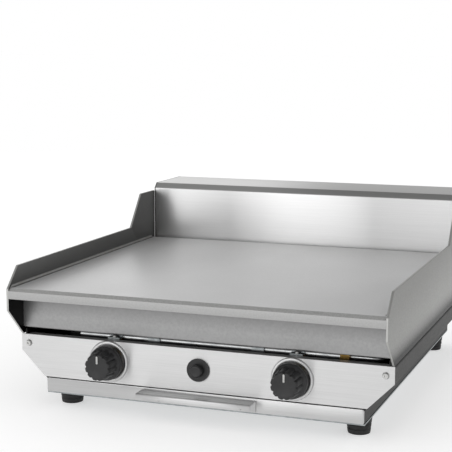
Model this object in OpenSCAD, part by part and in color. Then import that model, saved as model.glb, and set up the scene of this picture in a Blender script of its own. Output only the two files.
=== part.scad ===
// Table-top gas plancha griddle: a thick steel plate welded between two bevelled side plates,
// lifted on and off a burner base that carries the splash back box, the gas train and the drip tray.
// Modelled in "deck" coordinates: y = 0 at the front top edge of the plate, z = 0 at the plate's top face,
// x = 0 on the middle plane. place() moves the whole thing so that z = 0 is the table.

/* [Griddle plate] */
// Width of the plate between the side plates
plate_w = 420; // [380:10:600]
// Depth of the plate from its nose to its rear edge
plate_d = 392; // [360:4:520]
// Thickness of the plate
plate_t = 12; // [8:1:16]
// Depth of the bevel along the front edge
nose_run = 4.5; // [2:0.5:8]
// Height of the bevel along the front edge
nose_drop = 3.3; // [2:0.1:6]
// Radius of the welded seam between plate and side plate
seam_r = 3; // [2:0.5:4]
// Width of the slot behind the plate that drains the fat
drain_gap = 8; // [7:0.5:14]
// Length of each leg of the corner lugs under the plate
lug_leg = 24; // [16:1:40]
// Depth of the corner lugs below the plate
lug_drop = 14; // [8:1:20]

/* [Side plates] */
// Thickness of each side plate
side_t = 2.5; // [2:0.5:4]
// Height of the splash guard above the plate
guard_h = 22; // [14:1:40]
// Height of the raised rear part of the guard above the plate
guard_rear_h = 63.5; // [50:0.5:66]
// Run of the bevel at the front of the guard
guard_front_run = 22.5; // [12:0.5:40]
// Run of the slope up to the raised rear part
guard_rise_run = 33; // [20:1:60]
// Length of the raised rear part
guard_flat = 43.5; // [25:0.5:80]
// Height of the upright front edge below the plate's top
ear_drop = 25; // [18:1:40]
// Depth of the side plates below the plate's top
skirt_drop = 57; // [54:1:62]
// Radius of the corners of the side plates
side_corner_r = 2; // [1:0.5:4]
// Gap between the side plates and the splash back
side_rear_gap = 1; // [0.5:0.5:5]

/* [Splash back box] */
// Height of the upright splash face above the plate
back_h = 66.5; // [64:0.5:90]
// Bevel between the splash face and the top, each way
back_bevel = 7; // [4:0.5:12]
// Depth of the box from the splash face to its rear
back_box_d = 91.5; // [80:0.5:120]
// Height of the flange that hangs down at the rear
back_return = 15.5; // [12:0.5:20]
// Depth of the splash face below the plate's underside
back_dip = 7; // [4:0.5:9]
// Width of a vent slot
vent_w = 34; // [20:1:40]
// Height of a vent slot
vent_h = 5; // [3:0.5:7]

/* [Apron and control panel] */
// Distance of the apron behind the plate's nose
apron_set = 32.5; // [28:0.5:40]
// Depth of the apron below the plate's top
apron_drop = 50; // [44:1:52]
// Width of the folded flanges of the apron
apron_flange = 12; // [8:1:14]
// Gap between the top of the control panel and the bottom of the side plates
panel_gap = 0.5; // [0.3:0.1:1]
// Width of the folded flange along the top of the control panel
panel_flange = 10; // [8:0.5:11]

/* [Base] */
// Thickness of the folded sheets
sheet_t = 1.5; // [1:0.1:1.8]
// Outer radius of the folds
fold_r = 2.2; // [2:0.1:2.6]
// Clearance between a side plate and the base wall inside it
skirt_clear = 1.8; // [1.8:0.1:3]
// Shadow gap between the side plates and the band of the base
shadow_gap = 1.5; // [1:0.5:3]
// Height of the band below the side plates
band_h = 17.5; // [12:0.5:22]
// Angle at which the base tucks in below the band
tuck_angle = 45; // [35:1:50]
// Inward flange along the top of each base side
top_flange = 12; // [8:1:14]
// Inward flange along the bottom of each base side
bottom_flange = 24; // [22:1:28]
// Depth of the burner box under the plate
firebox_h = 86; // [80:1:100]
// Distance from the plate's edge to the wall of the burner box
firebox_inset = 22; // [20:1:30]
// Depth of the control space between the panel and the burner box
control_d = 68.5; // [66:0.5:90]
// Free height between burner box and drip tray
tray_space = 8; // [6:1:16]
// Height of the rubber feet
foot_h = 17.5; // [12:0.5:30]
// Radius of the rubber feet
foot_r = 14; // [11:0.5:15]

/* [Drip tray] */
// Height of the drip tray
tray_h = 14.7; // [14:0.1:24]
// Thickness of the drip tray's sheet
tray_t = 1; // [0.8:0.1:1.5]
// Height of the tray rails
rail_h = 9; // [6:0.5:12]
// Width of the pull on the drip tray
pull_w = 130; // [90:10:200]
// Reach of the pull in front of the tray
pull_reach = 20; // [16:1:24]

/* [Gas train] */
// Distance of each burner from the middle
burner_x = 105; // [90:1:120]
// Radius of a burner tube
burner_r = 14; // [12:0.5:15]
// Wall of a burner tube
burner_wall = 1; // [0.8:0.1:1.5]
// Radius of a flame port
port_r = 1.2; // [1:0.1:1.6]
// Spacing of the flame ports
port_pitch = 12; // [10:1:20]
// Radius of the gas manifold
manifold_r = 7; // [6:0.5:7.5]
// Radius of the supply pipe
pipe_r = 4; // [3:0.5:4.5]
// Radius of the male gas inlet thread
inlet_r = 10.48; // [8:0.01:11]
// Length of the male gas inlet thread
inlet_l = 14; // [12:1:20]
// Radius of a tap's stem
stem_r = 4; // [3:0.5:4]
// How far a knob is pushed in before it turns
knob_push = 3; // [2:0.5:3]
// Radius of a knob
knob_r = 19; // [16:0.5:20]
// Length of a knob
knob_l = 24; // [20:1:26]
// Radius of the igniter's push button
button_r = 7; // [5:0.5:7]
// How far the igniter's button is pushed in
button_push = 5; // [3:0.5:6]

/* [Hidden] */

$fn = 48;
fit_gap = 0.3;            // running gap between pieces that only meet
hole_gap = 0.15;          // radial gap round a screw or a rod in its hole
run_gap = 0.08;           // radial gap round a piece that turns or slides in its bore
eps = 0.01;               // depth by which joined blocks of one piece sink into each other
fold_steps = 4;           // straight steps in each fold
plate_rear = plate_d - nose_run;
back_face = plate_rear + drain_gap;
box_rear = back_face + back_box_d;
box_top = back_h + back_bevel;
side_front = -nose_run;
side_rear = back_face - side_rear_gap;
under = -plate_t;
apron_y = apron_set - nose_run;
panel_y = apron_y - 0.5;
panel_back = panel_y + sheet_t;
cover_rear = box_rear - sheet_t;
cover_in = cover_rear - sheet_t;
half_w = plate_w / 2;
band_x = half_w + side_t;
wall_x = half_w - skirt_clear;       // outer face of the base wall, and inner face of an end cap
wall_in = wall_x - sheet_t;
flange_z = under - sheet_t;
ledge_z = -(skirt_drop + shadow_gap);
cap_bottom = ledge_z + fold_r;
band_z = ledge_z - band_h;
tub_floor = under - firebox_h;
tray_top = tub_floor - tray_space;
tray_bottom = tray_top - tray_h;
floor_top = tray_bottom - fit_gap;
base_z = floor_top - sheet_t;
keel_z = tray_top - 0.5;
keel_x = band_x - (band_z - keel_z) * tan(tuck_angle);
rail_x = keel_x - bottom_flange;     // inner face of a tray rail
table_z = base_z - foot_h;
tub_x = half_w - firebox_inset;
tub_front = panel_y + control_d;
tub_rear = plate_rear - 4.5;
panel_top = -(skirt_drop + panel_gap);
panel_bottom = tray_top + 2;
tab_w = 15;
tab_x = band_x - sheet_t - tab_w / 2;
tab_z = (ledge_z + band_z) / 2;
gutter_t = 1.2;
gutter_front = plate_rear - gutter_t;
gutter_rear = back_face + sheet_t + gutter_t;
gutter_x = wall_in - 1;
gutter_floor = under - 18;
gutter_fall = 4;                     // fall of the gutter from each end to the middle
spout_r = 4.5;
spout_wall = 1;
spout_y = (plate_rear + back_face + sheet_t) / 2;
screw_r = 1.9;                       // shank of an M4 screw
head_r = 3.8;
head_h = 2.4;
nut_h = 3.2;
rear_screw_x = wall_x - 7;
rear_screw_l = 7;
cap_tab_w = 13;                      // width of the tab that a side takes the rear cover's screws with
rear_screw_z = [6, back_h - 14];
return_screw_x = [60 - half_w, 0, half_w - 60];
return_screw_z = box_top - back_return + 5;
floor_screw_x = [60 - keel_x, keel_x - 60];
floor_screw_z = floor_top + 5;
upturn_x = keel_x - 30;              // half width of the bottom plate's upturned rear edge
upturn_h = 10;
vent_pitch = vent_w + 14;
vent_rows = [14, 26, 38];
low_vent_z = band_z - 12;
floor_slot = [30, 3];                // length between centres and radius of an air slot in the bottom plate
floor_slot_pitch = 56;
floor_slot_y = [tub_front + 40, tub_rear - 60];
tub_slot = [30, 3.5];                // the same for the floor of the burner box
tub_slot_x = [burner_x - 53, burner_x + 45];
tub_slot_pitch = 62;
foot_x = keel_x - foot_r;
foot_seat = table_z + foot_h * 0.55; // where a foot screw's head bears on the rubber
foot_y = [panel_y + 34, box_rear - 38];
tray_x = rail_x - fit_gap;
tray_rear = gutter_rear + 10;
pull_screw_z = tray_bottom + 5.5;
burner_lift = 2.5;                   // gap between a burner and the floor of the burner box
burner_z = tub_floor + sheet_t + burner_lift + burner_r;
bonnet_t = 3;
tap_y0 = panel_back + 4;             // front of a tap's bonnet
tap_l = 31;
tap_r = 10;
plug_l = 16;
plug_r0 = 6;                         // front radius of the tapered plug
plug_r1 = 5;
chamber_l = knob_push + 3;           // room between bonnet and plug for the stem's collar
plug_y0 = tap_y0 + bonnet_t + chamber_l;
tang_t = 2;
tang_w = 6;
tang_gap = 0.2;
collar_l = 2;
collar_r = plug_r0 - 0.6;
outlet_l = 6;
outlet_r = 6;
jet_r = 3;
jet_l = 8;
manifold_y = tap_y0 + 22.5;
gas_z = burner_z + tap_r + 5 + manifold_r;
manifold_half = burner_x + 45;
yoke_w = 14;
clamp_r = 1.5;                       // shank of a clamp screw
gas_way_r = 2;                       // radius of the gas ways in the taps
bracket_x = burner_x - 45;           // middle of a manifold bracket
bracket_w = 14;
bracket_h = 14;
yoke_reach = manifold_r + 9;         // half length of the yoke that holds the manifold
ear_y = manifold_r + 5.8;            // distance of the clamp screws from the manifold
strap_t = 2;
bezel_t = 3;
bezel_r = knob_r + 4;
knob_gap = knob_push + 1;            // free space behind a knob
knob_back = panel_y - bezel_t - knob_gap;
knob_y0 = knob_back - knob_l;
stem_y0 = knob_y0 + 5;               // front end of a tap's stem, inside the knob
flutes = 12;                         // finger flutes round a knob
flute_r = 2.6;
skirt_l = 7;                         // length of a knob's plain skirt
mouth_r = burner_r - 1;              // radius of a burner's mouth
mouth_l = 6;
neck_r = 0.68 * burner_r;            // radius of a burner's venturi
mouth_y = tap_y0 + tap_l + outlet_l + 1.5;
neck_y0 = mouth_y + mouth_l + 8;
neck_y1 = tub_front + 12;
tube_y = neck_y1 + 14;
burner_rear = tub_rear - 13;
port_y0 = tube_y + 8;
sensor_x = burner_x + 24;
spark_x = burner_x - 24;
probe_z = burner_z + 14;
probe_front = tub_front - 9;
ceramic_r = 3;
sensor_r = 2.5;
wire_r = 0.9;
lead_r = 1.3;
lead_bend = 9;
barrel_r = button_r + 2;             // igniter barrel behind the panel
barrel_l = 34;
flange_t = 2.5;
terminal_x = 4;
terminal_l = 6;
socket_l = 6 + button_push + 0.5;    // depth of the igniter's bore behind the panel
button_face = panel_y - flange_t - button_push;
ferrule_t = 1.8;                     // flange of a probe on the wall of the burner box
ferrule_w = 2.2;
pipe_x = (tub_x + wall_in) / 2;
pipe_bend = 14;
pipe_y = gutter_rear + 30;           // where the supply pipe turns back towards the inlet
inlet_x = half_w - 60;
inlet_hex = 6;
union_y = cover_in - 12;             // where the supply pipe meets the inlet fitting
union_l = 10;
union_r = 9;
hex_r = 15;
inlet_end = cover_rear + inlet_hex + inlet_l;
front_y = min(side_front, knob_y0, panel_y - pull_reach);
y_shift = -(front_y + inlet_end) / 2;

// Paths, folds and tubes

function unit(v) = v / norm(v);

// Points of a round bend of radius r at b, between a and c, limited by the two legs
function bend(a, b, c, r, n) =
    let (u = unit(a - b), v = unit(c - b), half = acos(max(-1, min(1, u * v))) / 2,
        d = min(r / tan(half), 0.49 * min(norm(a - b), norm(c - b))), e = d * tan(half),
        centre = b + unit(u + v) * e / sin(half), s = b + u * d)
    [for (i = [0:n]) let (q = i * (180 - 2 * half) / n) centre + (s - centre) * cos(q) - u * e * sin(q)];

function folded(path, r, n = fold_steps) = let (k = len(path) - 1)
    [path[0], for (i = [1:k - 1]) each bend(path[i - 1], path[i], path[i + 1], r, n), path[k]];

function rounded_loop(path, r, n = fold_steps) = let (k = len(path))
    [for (i = [0:k - 1]) each bend(path[(i + k - 1) % k], path[i], path[(i + 1) % k], r, n)];

function left_normal(a, b) = let (d = unit(b - a)) [-d[1], d[0]];

function beside(p, i, t) = let (k = len(p) - 1,
        n0 = i == 0 ? left_normal(p[0], p[1]) : left_normal(p[i - 1], p[i]),
        n1 = i == k ? n0 : left_normal(p[i], p[i + 1]))
    p[i] + (n0 + n1) / (1 + n0 * n1) * t;

// Outline of a folded sheet that lies on the left of its path for side = 1, on the right for -1
function sheet_fold(path, side) = let (p = folded(path, fold_r))
    concat(p, [for (i = [len(p) - 1:-1:0]) beside(p, i, side * sheet_t)]);

function carried(tangents, i, n) = i == len(tangents) ? [] :
    let (m = unit(n - (n * tangents[i]) * tangents[i])) concat([m], carried(tangents, i + 1, m));

// A tube along points in space, with rings carried from one point to the next without twist
module swept_tube(points, r, sides = 8) {
    k = len(points) - 1;
    tangents = [for (i = [0:k]) unit(points[min(i + 1, k)] - points[max(i - 1, 0)])];
    first = abs(tangents[0][2]) < 0.9 ? [0, 0, 1] : [1, 0, 0];
    normals = carried(tangents, 0, first);
    rings = [for (i = [0:k], j = [0:sides - 1]) let (q = 360 * j / sides, b = cross(tangents[i], normals[i]))
        points[i] + r * (cos(q) * normals[i] + sin(q) * b)];
    walls = [for (i = [0:k - 1], j = [0:sides - 1]) let (a = i * sides + j, b = i * sides + (j + 1) % sides)
        each [[a, a + sides, b], [b, a + sides, b + sides]]];
    caps = [[for (j = [0:sides - 1]) j], [for (j = [sides - 1:-1:0]) k * sides + j]];
    polyhedron(rings, concat(walls, caps), convexity = 6);
}

module place() translate([0, y_shift, -table_z]) children();

// A drawing in (y, z) made w wide, centred on x = 0
module across(w) rotate([90, 0, 90]) linear_extrude(w, center = true) children();

// A drawing in (x, z) run from y0 to y1
module along(y0, y1) translate([0, y1, 0]) rotate([90, 0, 0]) linear_extrude(y1 - y0) children();

module rod_x(y, z, r, x0, x1) translate([x0, y, z]) rotate([0, 90, 0]) cylinder(r = r, h = x1 - x0);

module rod_y(x, z, r, y0, y1, r2 = undef) translate([x, y0, z]) rotate([-90, 0, 0])
    cylinder(r1 = r, r2 = is_undef(r2) ? r : r2, h = y1 - y0);

module rod_z(x, y, r, z0, z1) translate([x, y, z0]) cylinder(r = r, h = z1 - z0);

module hex_y(x, z, r, y0, y1) translate([x, y0, z]) rotate([-90, 0, 0]) cylinder(r = r, h = y1 - y0, $fn = 6);

module block(x0, x1, y0, y1, z0, z1) translate([x0, y0, z0]) cube([x1 - x0, y1 - y0, z1 - z0]);

// A solid turned round an axis along y, from a profile of (radius, y) points
module turned_y(x, z, profile) translate([x, 0, z]) rotate([-90, 0, 0]) rotate_extrude() polygon(profile);

module slot(l, r) {
    square([l, 2 * r], center = true);
    for (s = [-1, 1]) translate([s * l / 2, 0]) circle(r);
}

module both_sides() {
    children();
    mirror([1, 0, 0]) children();
}

// A pan-head screw that enters along +y at y, or along -y when turned round
module screw_y(x, z, y, reach, turned = false) translate([x, y, z]) rotate([turned ? 90 : -90, 0, 0]) {
    translate([0, 0, -head_h]) difference() {
        cylinder(r1 = head_r * 0.72, r2 = head_r, h = head_h);
        translate([0, 0, -1]) cylinder(r = 1.5, h = 2.2, $fn = 6);
    }
    cylinder(r = screw_r, h = reach);
}

module screw_hole_y(x, z, y) rod_y(x, z, screw_r + hole_gap, y - 5, y + 5);

// Griddle top: plate, side plates, seams, apron and lugs, lifted off as one

module griddle_plate() color("#b9b9b7") across(plate_w)
    polygon([[-nose_run, under], [-nose_run, -nose_drop], [0, 0], [plate_rear, 0], [plate_rear, under]]);

function side_outline() = [[side_front, -ear_drop], [side_front, -1],
    [side_front + guard_front_run, guard_h], [side_rear - guard_flat - guard_rise_run, guard_h],
    [side_rear - guard_flat, guard_rear_h], [side_rear, guard_rear_h], [side_rear, -skirt_drop],
    [side_front + skirt_drop - ear_drop, -skirt_drop]];

module right_side_plate() color("#8f8f8d") translate([half_w + side_t / 2, 0, 0]) across(side_t)
    polygon(rounded_loop(side_outline(), side_corner_r));

module left_side_plate() mirror([1, 0, 0]) right_side_plate();

module corner_seams() color("#a3a3a1") both_sides() along(0, plate_rear)
    translate([half_w - seam_r, 0]) difference() {
        square(seam_r);
        translate([0, seam_r]) circle(seam_r);
    }

module front_apron() color("#8c8c8a") across(plate_w) polygon(sheet_fold([
    [apron_y + apron_flange, -apron_drop], [apron_y, -apron_drop], [apron_y, under],
    [apron_y + apron_flange, under]], -1));

module locating_lugs() color("#8c8c8a") {
    lug_x = tub_x - sheet_t - fit_gap;
    middle = (tub_front + tub_rear) / 2;
    reach = (tub_rear - tub_front) / 2 - sheet_t - fit_gap;
    both_sides() for (s = [-1, 1]) translate([lug_x, middle + s * reach, under - lug_drop])
        linear_extrude(lug_drop) polygon([[0, 0], [0, -s * lug_leg], [-side_t, -s * lug_leg],
            [-side_t, -s * side_t], [-lug_leg, -s * side_t], [-lug_leg, 0]]);
}

// Splash back box

module back_panel() color("#c9c9c9") difference() {
    across(2 * wall_x) polygon(sheet_fold([[back_face, under - back_dip], [back_face, back_h],
        [back_face + back_bevel, box_top], [box_rear, box_top], [box_rear, box_top - back_return]], -1));
    for (x = return_screw_x) screw_hole_y(x, return_screw_z, box_rear);
}

module right_end_cap() color("#a8a8a6") difference() {
    union() {
        translate([(half_w + wall_x) / 2, 0, 0]) across(half_w - wall_x) polygon(rounded_loop([
            [back_face, cap_bottom], [back_face, back_h], [back_face + back_bevel, box_top],
            [box_rear, box_top], [box_rear, cap_bottom]], side_corner_r));
        block(wall_x - cap_tab_w, wall_x + eps, cover_in - sheet_t, cover_in, flange_z + 2, back_h - 6);
    }
    for (z = rear_screw_z) screw_hole_y(rear_screw_x, z, cover_in);
}

module left_end_cap() mirror([1, 0, 0]) right_end_cap();

function mirrored(points) = [for (i = [len(points) - 1:-1:0]) [-points[i][0], points[i][1]]];

module cover_outline() {
    right = [[wall_x, box_top - fold_r - fit_gap], [wall_x, ledge_z], [band_x, ledge_z], [band_x, band_z],
        [keel_x, keel_z], [keel_x, base_z]];
    polygon(concat(right, mirrored(right)));
}

module panel_outline() {
    right = [[band_x, panel_top], [band_x, band_z],
        [keel_x + (panel_bottom - keel_z) * tan(tuck_angle), panel_bottom]];
    polygon(concat(right, mirrored(right)));
}

module rear_cover() color("#a8a8a6") difference() {
    along(cover_in, cover_rear) difference() {
        cover_outline();
        for (i = [-3:3], z = vent_rows) translate([i * vent_pitch, z]) slot(vent_w - vent_h, vent_h / 2);
        for (i = [-2:1]) translate([i * vent_pitch, low_vent_z]) slot(vent_w - vent_h, vent_h / 2);
    }
    both_sides() for (z = rear_screw_z) screw_hole_y(rear_screw_x, z, cover_in);
    for (x = return_screw_x) screw_hole_y(x, return_screw_z, cover_in);
    for (x = floor_screw_x) screw_hole_y(x, floor_screw_z, cover_in);
    rod_y(inlet_x, gas_z, inlet_r + hole_gap, cover_in - 1, cover_rear + 1);
}

module rear_screws() color("#dcdcdc") {
    both_sides() for (z = rear_screw_z) screw_y(rear_screw_x, z, cover_rear, rear_screw_l, true);
    for (x = floor_screw_x) screw_y(x, floor_screw_z, cover_rear, rear_screw_l, true);
    for (x = return_screw_x) screw_y(x, return_screw_z, box_rear, rear_screw_l, true);
}

// Base shell

module foot_places() for (x = [-foot_x, foot_x], y = foot_y) translate([x, y, 0]) children();

module right_base_side() color("#9b9b99") {
    flange_x = wall_in - top_flange;
    difference() {
        along(panel_back, cover_in) polygon(sheet_fold([[wall_x - top_flange, flange_z], [wall_x, flange_z],
            [wall_x, ledge_z], [band_x, ledge_z], [band_x, band_z], [keel_x, keel_z], [keel_x, floor_top],
            [rail_x, floor_top]], -1));
        block(flange_x, wall_x + 1, panel_back - 1, apron_y + apron_flange + 1, -apron_drop - 1.5, 0);
        block(flange_x, wall_x + 1, gutter_front - 1, cover_in + 1, under - back_dip - 0.5, 0);
        foot_places() rod_z(0, 0, screw_r + hole_gap, floor_top - 1, floor_top + 5);
    }
    difference() {
        block(tab_x - tab_w / 2, tab_x + tab_w / 2 + eps, panel_back, panel_back + sheet_t,
            band_z + 2, ledge_z - sheet_t - 1);
        screw_hole_y(tab_x, tab_z, panel_back);
    }
}

module left_base_side() mirror([1, 0, 0]) right_base_side();

module bottom_plate() color("#9b9b99") difference() {
    union() {
        block(-keel_x, keel_x, panel_back, cover_in, base_z, floor_top);
        block(-upturn_x, upturn_x, cover_in - sheet_t, cover_in, floor_top - eps, floor_top + upturn_h);
    }
    for (x = floor_screw_x) screw_hole_y(x, floor_screw_z, cover_in);
    foot_places() rod_z(0, 0, screw_r + hole_gap, base_z - 1, floor_top + 1);
    for (i = [-2:2], y = floor_slot_y) translate([i * floor_slot_pitch, y, base_z - 1])
        linear_extrude(sheet_t + 2) slot(floor_slot[0], floor_slot[1]);
}

module burner_box() color("#8a8a88") difference() {
    union() {
        block(-tub_x, tub_x, tub_front, tub_rear, tub_floor, under);
        block(fit_gap - wall_in, wall_in - fit_gap, tub_front - 8, gutter_front - fit_gap, flange_z, under);
    }
    block(sheet_t - tub_x, tub_x - sheet_t, tub_front + sheet_t, tub_rear - sheet_t,
        tub_floor + sheet_t, under + 1);
    both_sides() {
        rod_y(burner_x, burner_z, mouth_r + fit_gap, tub_front - 1, tub_front + 3);
        rod_y(sensor_x, probe_z, sensor_r + hole_gap, tub_front - 1, tub_front + 3);
        rod_y(spark_x, probe_z, ceramic_r + hole_gap, tub_front - 1, tub_front + 3);
    }
    both_sides() for (x = tub_slot_x, i = [0:3])
        translate([x, tub_front + 50 + i * tub_slot_pitch, tub_floor - 1])
        rotate([0, 0, 90]) linear_extrude(sheet_t + 2) slot(tub_slot[0], tub_slot[1]);
}

module control_panel() color("#c4c4c4") difference() {
    union() {
        along(panel_y, panel_back) panel_outline();
        block(1 - wall_in, wall_in - 1, panel_y, panel_y + panel_flange, panel_top - sheet_t, panel_top);
        block(4 - keel_x, keel_x - 4, panel_y, panel_y + 9, panel_bottom, panel_bottom + sheet_t);
    }
    both_sides() {
        rod_y(burner_x, burner_z, stem_r + 2, panel_y - 1, panel_back + 1);
        screw_hole_y(tab_x, tab_z, panel_y);
    }
    rod_y(0, burner_z, barrel_r + hole_gap, panel_y - 1, panel_back + 1);
}

module panel_screws() color("#dcdcdc") both_sides() screw_y(tab_x, tab_z, panel_y, 6);

module gutter_section(grow, top) polygon([[grow - gutter_x, top], [gutter_x - grow, top],
    [gutter_x - grow, gutter_floor + grow], [0, gutter_floor + grow - gutter_fall],
    [grow - gutter_x, gutter_floor + grow]]);

module grease_gutter() color("#9b9b99") difference() {
    along(gutter_front, gutter_rear) gutter_section(0, under - 0.4);
    along(plate_rear, back_face + sheet_t) gutter_section(gutter_t, under + 1);
    rod_z(0, spout_y, spout_r, gutter_floor - 9, under);
    block(-half_w, half_w, back_face - fit_gap, back_face + sheet_t, under - back_dip - fit_gap, 0);
}

module gutter_spout() color("#9b9b99") difference() {
    rod_z(0, spout_y, spout_r, tray_top + 1.5, gutter_floor - gutter_fall + gutter_t);
    rod_z(0, spout_y, spout_r - spout_wall, tray_top, gutter_floor + 1);
}

module tray_rails() color("#9b9b99") both_sides() {
    block(rail_x, rail_x + sheet_t, panel_back + 6, tray_rear + 10, floor_top + sheet_t, floor_top + rail_h);
    block(rail_x, rail_x + 6, panel_back + 6, tray_rear + 10, floor_top + sheet_t, floor_top + 2 * sheet_t);
}

module rubber_feet() color("#2b2b2b") foot_places() difference() {
    translate([0, 0, table_z]) cylinder(r1 = foot_r - 2, r2 = foot_r, h = foot_h);
    rod_z(0, 0, screw_r + hole_gap, table_z, base_z + 1);
    rod_z(0, 0, head_r + 1.2, table_z - 1, foot_seat);
}

module foot_screws() color("#dcdcdc") foot_places() {
    rod_z(0, 0, screw_r, foot_seat - eps, floor_top + sheet_t + nut_h + 1);
    rod_z(0, 0, head_r, foot_seat - head_h, foot_seat);
}

module foot_nuts() color("#dcdcdc") foot_places() difference() {
    translate([0, 0, floor_top + sheet_t]) cylinder(r = head_r, h = nut_h, $fn = 6);
    rod_z(0, 0, screw_r + hole_gap, floor_top, floor_top + 9);
}

// Drip tray

module pull_holes() for (s = [-1, 1]) screw_hole_y(s * pull_w * 0.36, pull_screw_z, panel_y);

module drip_tray() color("#b5b5b5")
    block(-tray_x, tray_x, panel_back, tray_rear, tray_bottom, tray_bottom + tray_t);

module tray_sides() color("#b5b5b5") both_sides()
    block(tray_x - tray_t, tray_x, panel_back, tray_rear, tray_bottom + tray_t, tray_top);

module tray_ends() color("#b5b5b5") difference() {
    for (y = [panel_back, tray_rear - tray_t])
        block(tray_t - tray_x, tray_x - tray_t, y, y + tray_t, tray_bottom + tray_t, tray_top);
    pull_holes();
}

module tray_front() color("#c4c4c4") difference() {
    block(fit_gap - keel_x, keel_x - fit_gap, panel_y, panel_back, tray_bottom, tray_top + 0.7);
    pull_holes();
}

module tray_pull() color("#c4c4c4") difference() {
    across(pull_w) polygon(sheet_fold([[panel_y, tray_bottom + 1], [panel_y, tray_top - 1],
        [panel_y - pull_reach, tray_top - 1], [panel_y - pull_reach, tray_top - 6]], 1));
    pull_holes();
}

module tray_screws() color("#dcdcdc") for (s = [-1, 1])
    screw_y(s * pull_w * 0.36, pull_screw_z, panel_y - sheet_t, 5);

// Burners

module right_burner() color("#a9a59c") difference() {
    turned_y(burner_x, burner_z, [[0, burner_rear], [burner_r, burner_rear], [burner_r, tube_y],
        [neck_r, neck_y1], [neck_r, neck_y0], [mouth_r, mouth_y + mouth_l], [mouth_r, mouth_y],
        [mouth_r - burner_wall, mouth_y], [mouth_r - burner_wall, mouth_y + mouth_l],
        [neck_r - burner_wall, neck_y0], [neck_r - burner_wall, neck_y1],
        [burner_r - burner_wall, tube_y], [burner_r - burner_wall, burner_rear - burner_wall],
        [0, burner_rear - burner_wall]]);
    for (y = [port_y0:port_pitch:burner_rear - 8], q = [-42, 42]) translate([burner_x, y, burner_z])
        rotate([0, q, 0]) translate([0, 0, burner_r - 4]) cylinder(r = port_r, h = 6, $fn = 16);
    translate([burner_x, mouth_y + mouth_l + 4, burner_z]) rotate([0, 90, 0])
        cylinder(r = 3, h = 3 * burner_r, center = true);
}

module left_burner() mirror([1, 0, 0]) right_burner();

module burner_brackets() color("#8a8a88") both_sides() for (y = [tube_y + 3, burner_rear - 24])
    difference() {
        block(burner_x - burner_r - 5, burner_x + burner_r + 5, y, y + 2, tub_floor + sheet_t, burner_z - 2);
        rod_y(burner_x, burner_z, burner_r, y - 1, y + 3);
    }

// Gas manifold and taps

module gas_manifold() color("#b0aea8") difference() {
    rod_x(manifold_y, gas_z, manifold_r, -manifold_half, manifold_half);
    rod_x(manifold_y, gas_z, manifold_r - 1.5, 4 - manifold_half, manifold_half + 1);
    both_sides() rod_z(burner_x, manifold_y, gas_way_r, gas_z - manifold_r - 1, gas_z);
}

module manifold_brackets() color("#8a8a88") both_sides() difference() {
    x0 = bracket_x - bracket_w / 2;
    union() {
        rod_x(manifold_y, gas_z, manifold_r + strap_t, x0, x0 + bracket_w);
        block(x0, x0 + bracket_w, manifold_y, tub_front, gas_z - strap_t / 2, gas_z + strap_t / 2);
        block(x0, x0 + bracket_w, tub_front - strap_t, tub_front, gas_z - strap_t / 2, gas_z + bracket_h);
    }
    rod_x(manifold_y, gas_z, manifold_r, x0 - 1, x0 + bracket_w + 1);
}

module manifold_clamps() color("#b0aea8") both_sides() difference() {
    union() {
        rod_x(manifold_y, gas_z, manifold_r + strap_t, burner_x - yoke_w / 2, burner_x + yoke_w / 2);
        block(burner_x - yoke_w / 2, burner_x + yoke_w / 2, manifold_y - yoke_reach, manifold_y + yoke_reach,
            gas_z, gas_z + strap_t);
    }
    rod_x(manifold_y, gas_z, manifold_r, burner_x - yoke_w, burner_x + yoke_w);
    block(burner_x - yoke_w, burner_x + yoke_w, manifold_y - yoke_reach - 1, manifold_y + yoke_reach + 1,
        gas_z - manifold_r - strap_t - 1, gas_z);
    for (s = [-1, 1]) rod_z(burner_x, manifold_y + s * ear_y, clamp_r + hole_gap, gas_z - 1, gas_z + 9);
}

module clamp_screws() color("#dcdcdc") both_sides() for (s = [-1, 1])
    translate([burner_x, manifold_y + s * ear_y, 0]) {
        rod_z(0, 0, clamp_r, gas_z - 6, gas_z + strap_t + eps);
        rod_z(0, 0, 1.8 * clamp_r, gas_z + strap_t, gas_z + strap_t + 2);
    }

module right_tap_body() color("#b9975b") difference() {
    union() {
        rod_y(burner_x, burner_z, tap_r, tap_y0 + bonnet_t, tap_y0 + tap_l);
        rod_y(burner_x, burner_z, outlet_r, tap_y0 + tap_l - eps, tap_y0 + tap_l + outlet_l);
        rod_z(burner_x, manifold_y, 6, burner_z, gas_z - manifold_r);
        block(burner_x - yoke_w / 2, burner_x + yoke_w / 2, manifold_y - yoke_reach, manifold_y + yoke_reach,
            gas_z - manifold_r - 3, gas_z);
        rod_x(manifold_y, burner_z, 4, burner_x, burner_x + tap_r + 4);
    }
    rod_x(manifold_y, gas_z, manifold_r, burner_x - yoke_w, burner_x + yoke_w);
    for (s = [-1, 1]) rod_z(burner_x, manifold_y + s * ear_y, clamp_r + hole_gap, gas_z - 6.5, gas_z + 1);
    rod_z(burner_x, manifold_y, gas_way_r, burner_z, gas_z);
    rod_y(burner_x, burner_z, plug_r0 + run_gap, tap_y0, plug_y0 + eps);
    rod_y(burner_x, burner_z, plug_r0 + run_gap, plug_y0, plug_y0 + plug_l + 0.3, plug_r1 + run_gap);
    rod_y(burner_x, burner_z, gas_way_r, plug_y0, tap_y0 + tap_l + 1);
    rod_y(burner_x, burner_z, jet_r, tap_y0 + tap_l, tap_y0 + tap_l + outlet_l + 1);
}

module left_tap_body() mirror([1, 0, 0]) right_tap_body();

module tap_bonnets() color("#b9975b") both_sides() difference() {
    rod_y(burner_x, burner_z, tap_r, tap_y0, tap_y0 + bonnet_t);
    rod_y(burner_x, burner_z, stem_r + run_gap, tap_y0 - 1, tap_y0 + bonnet_t + 1);
}

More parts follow.
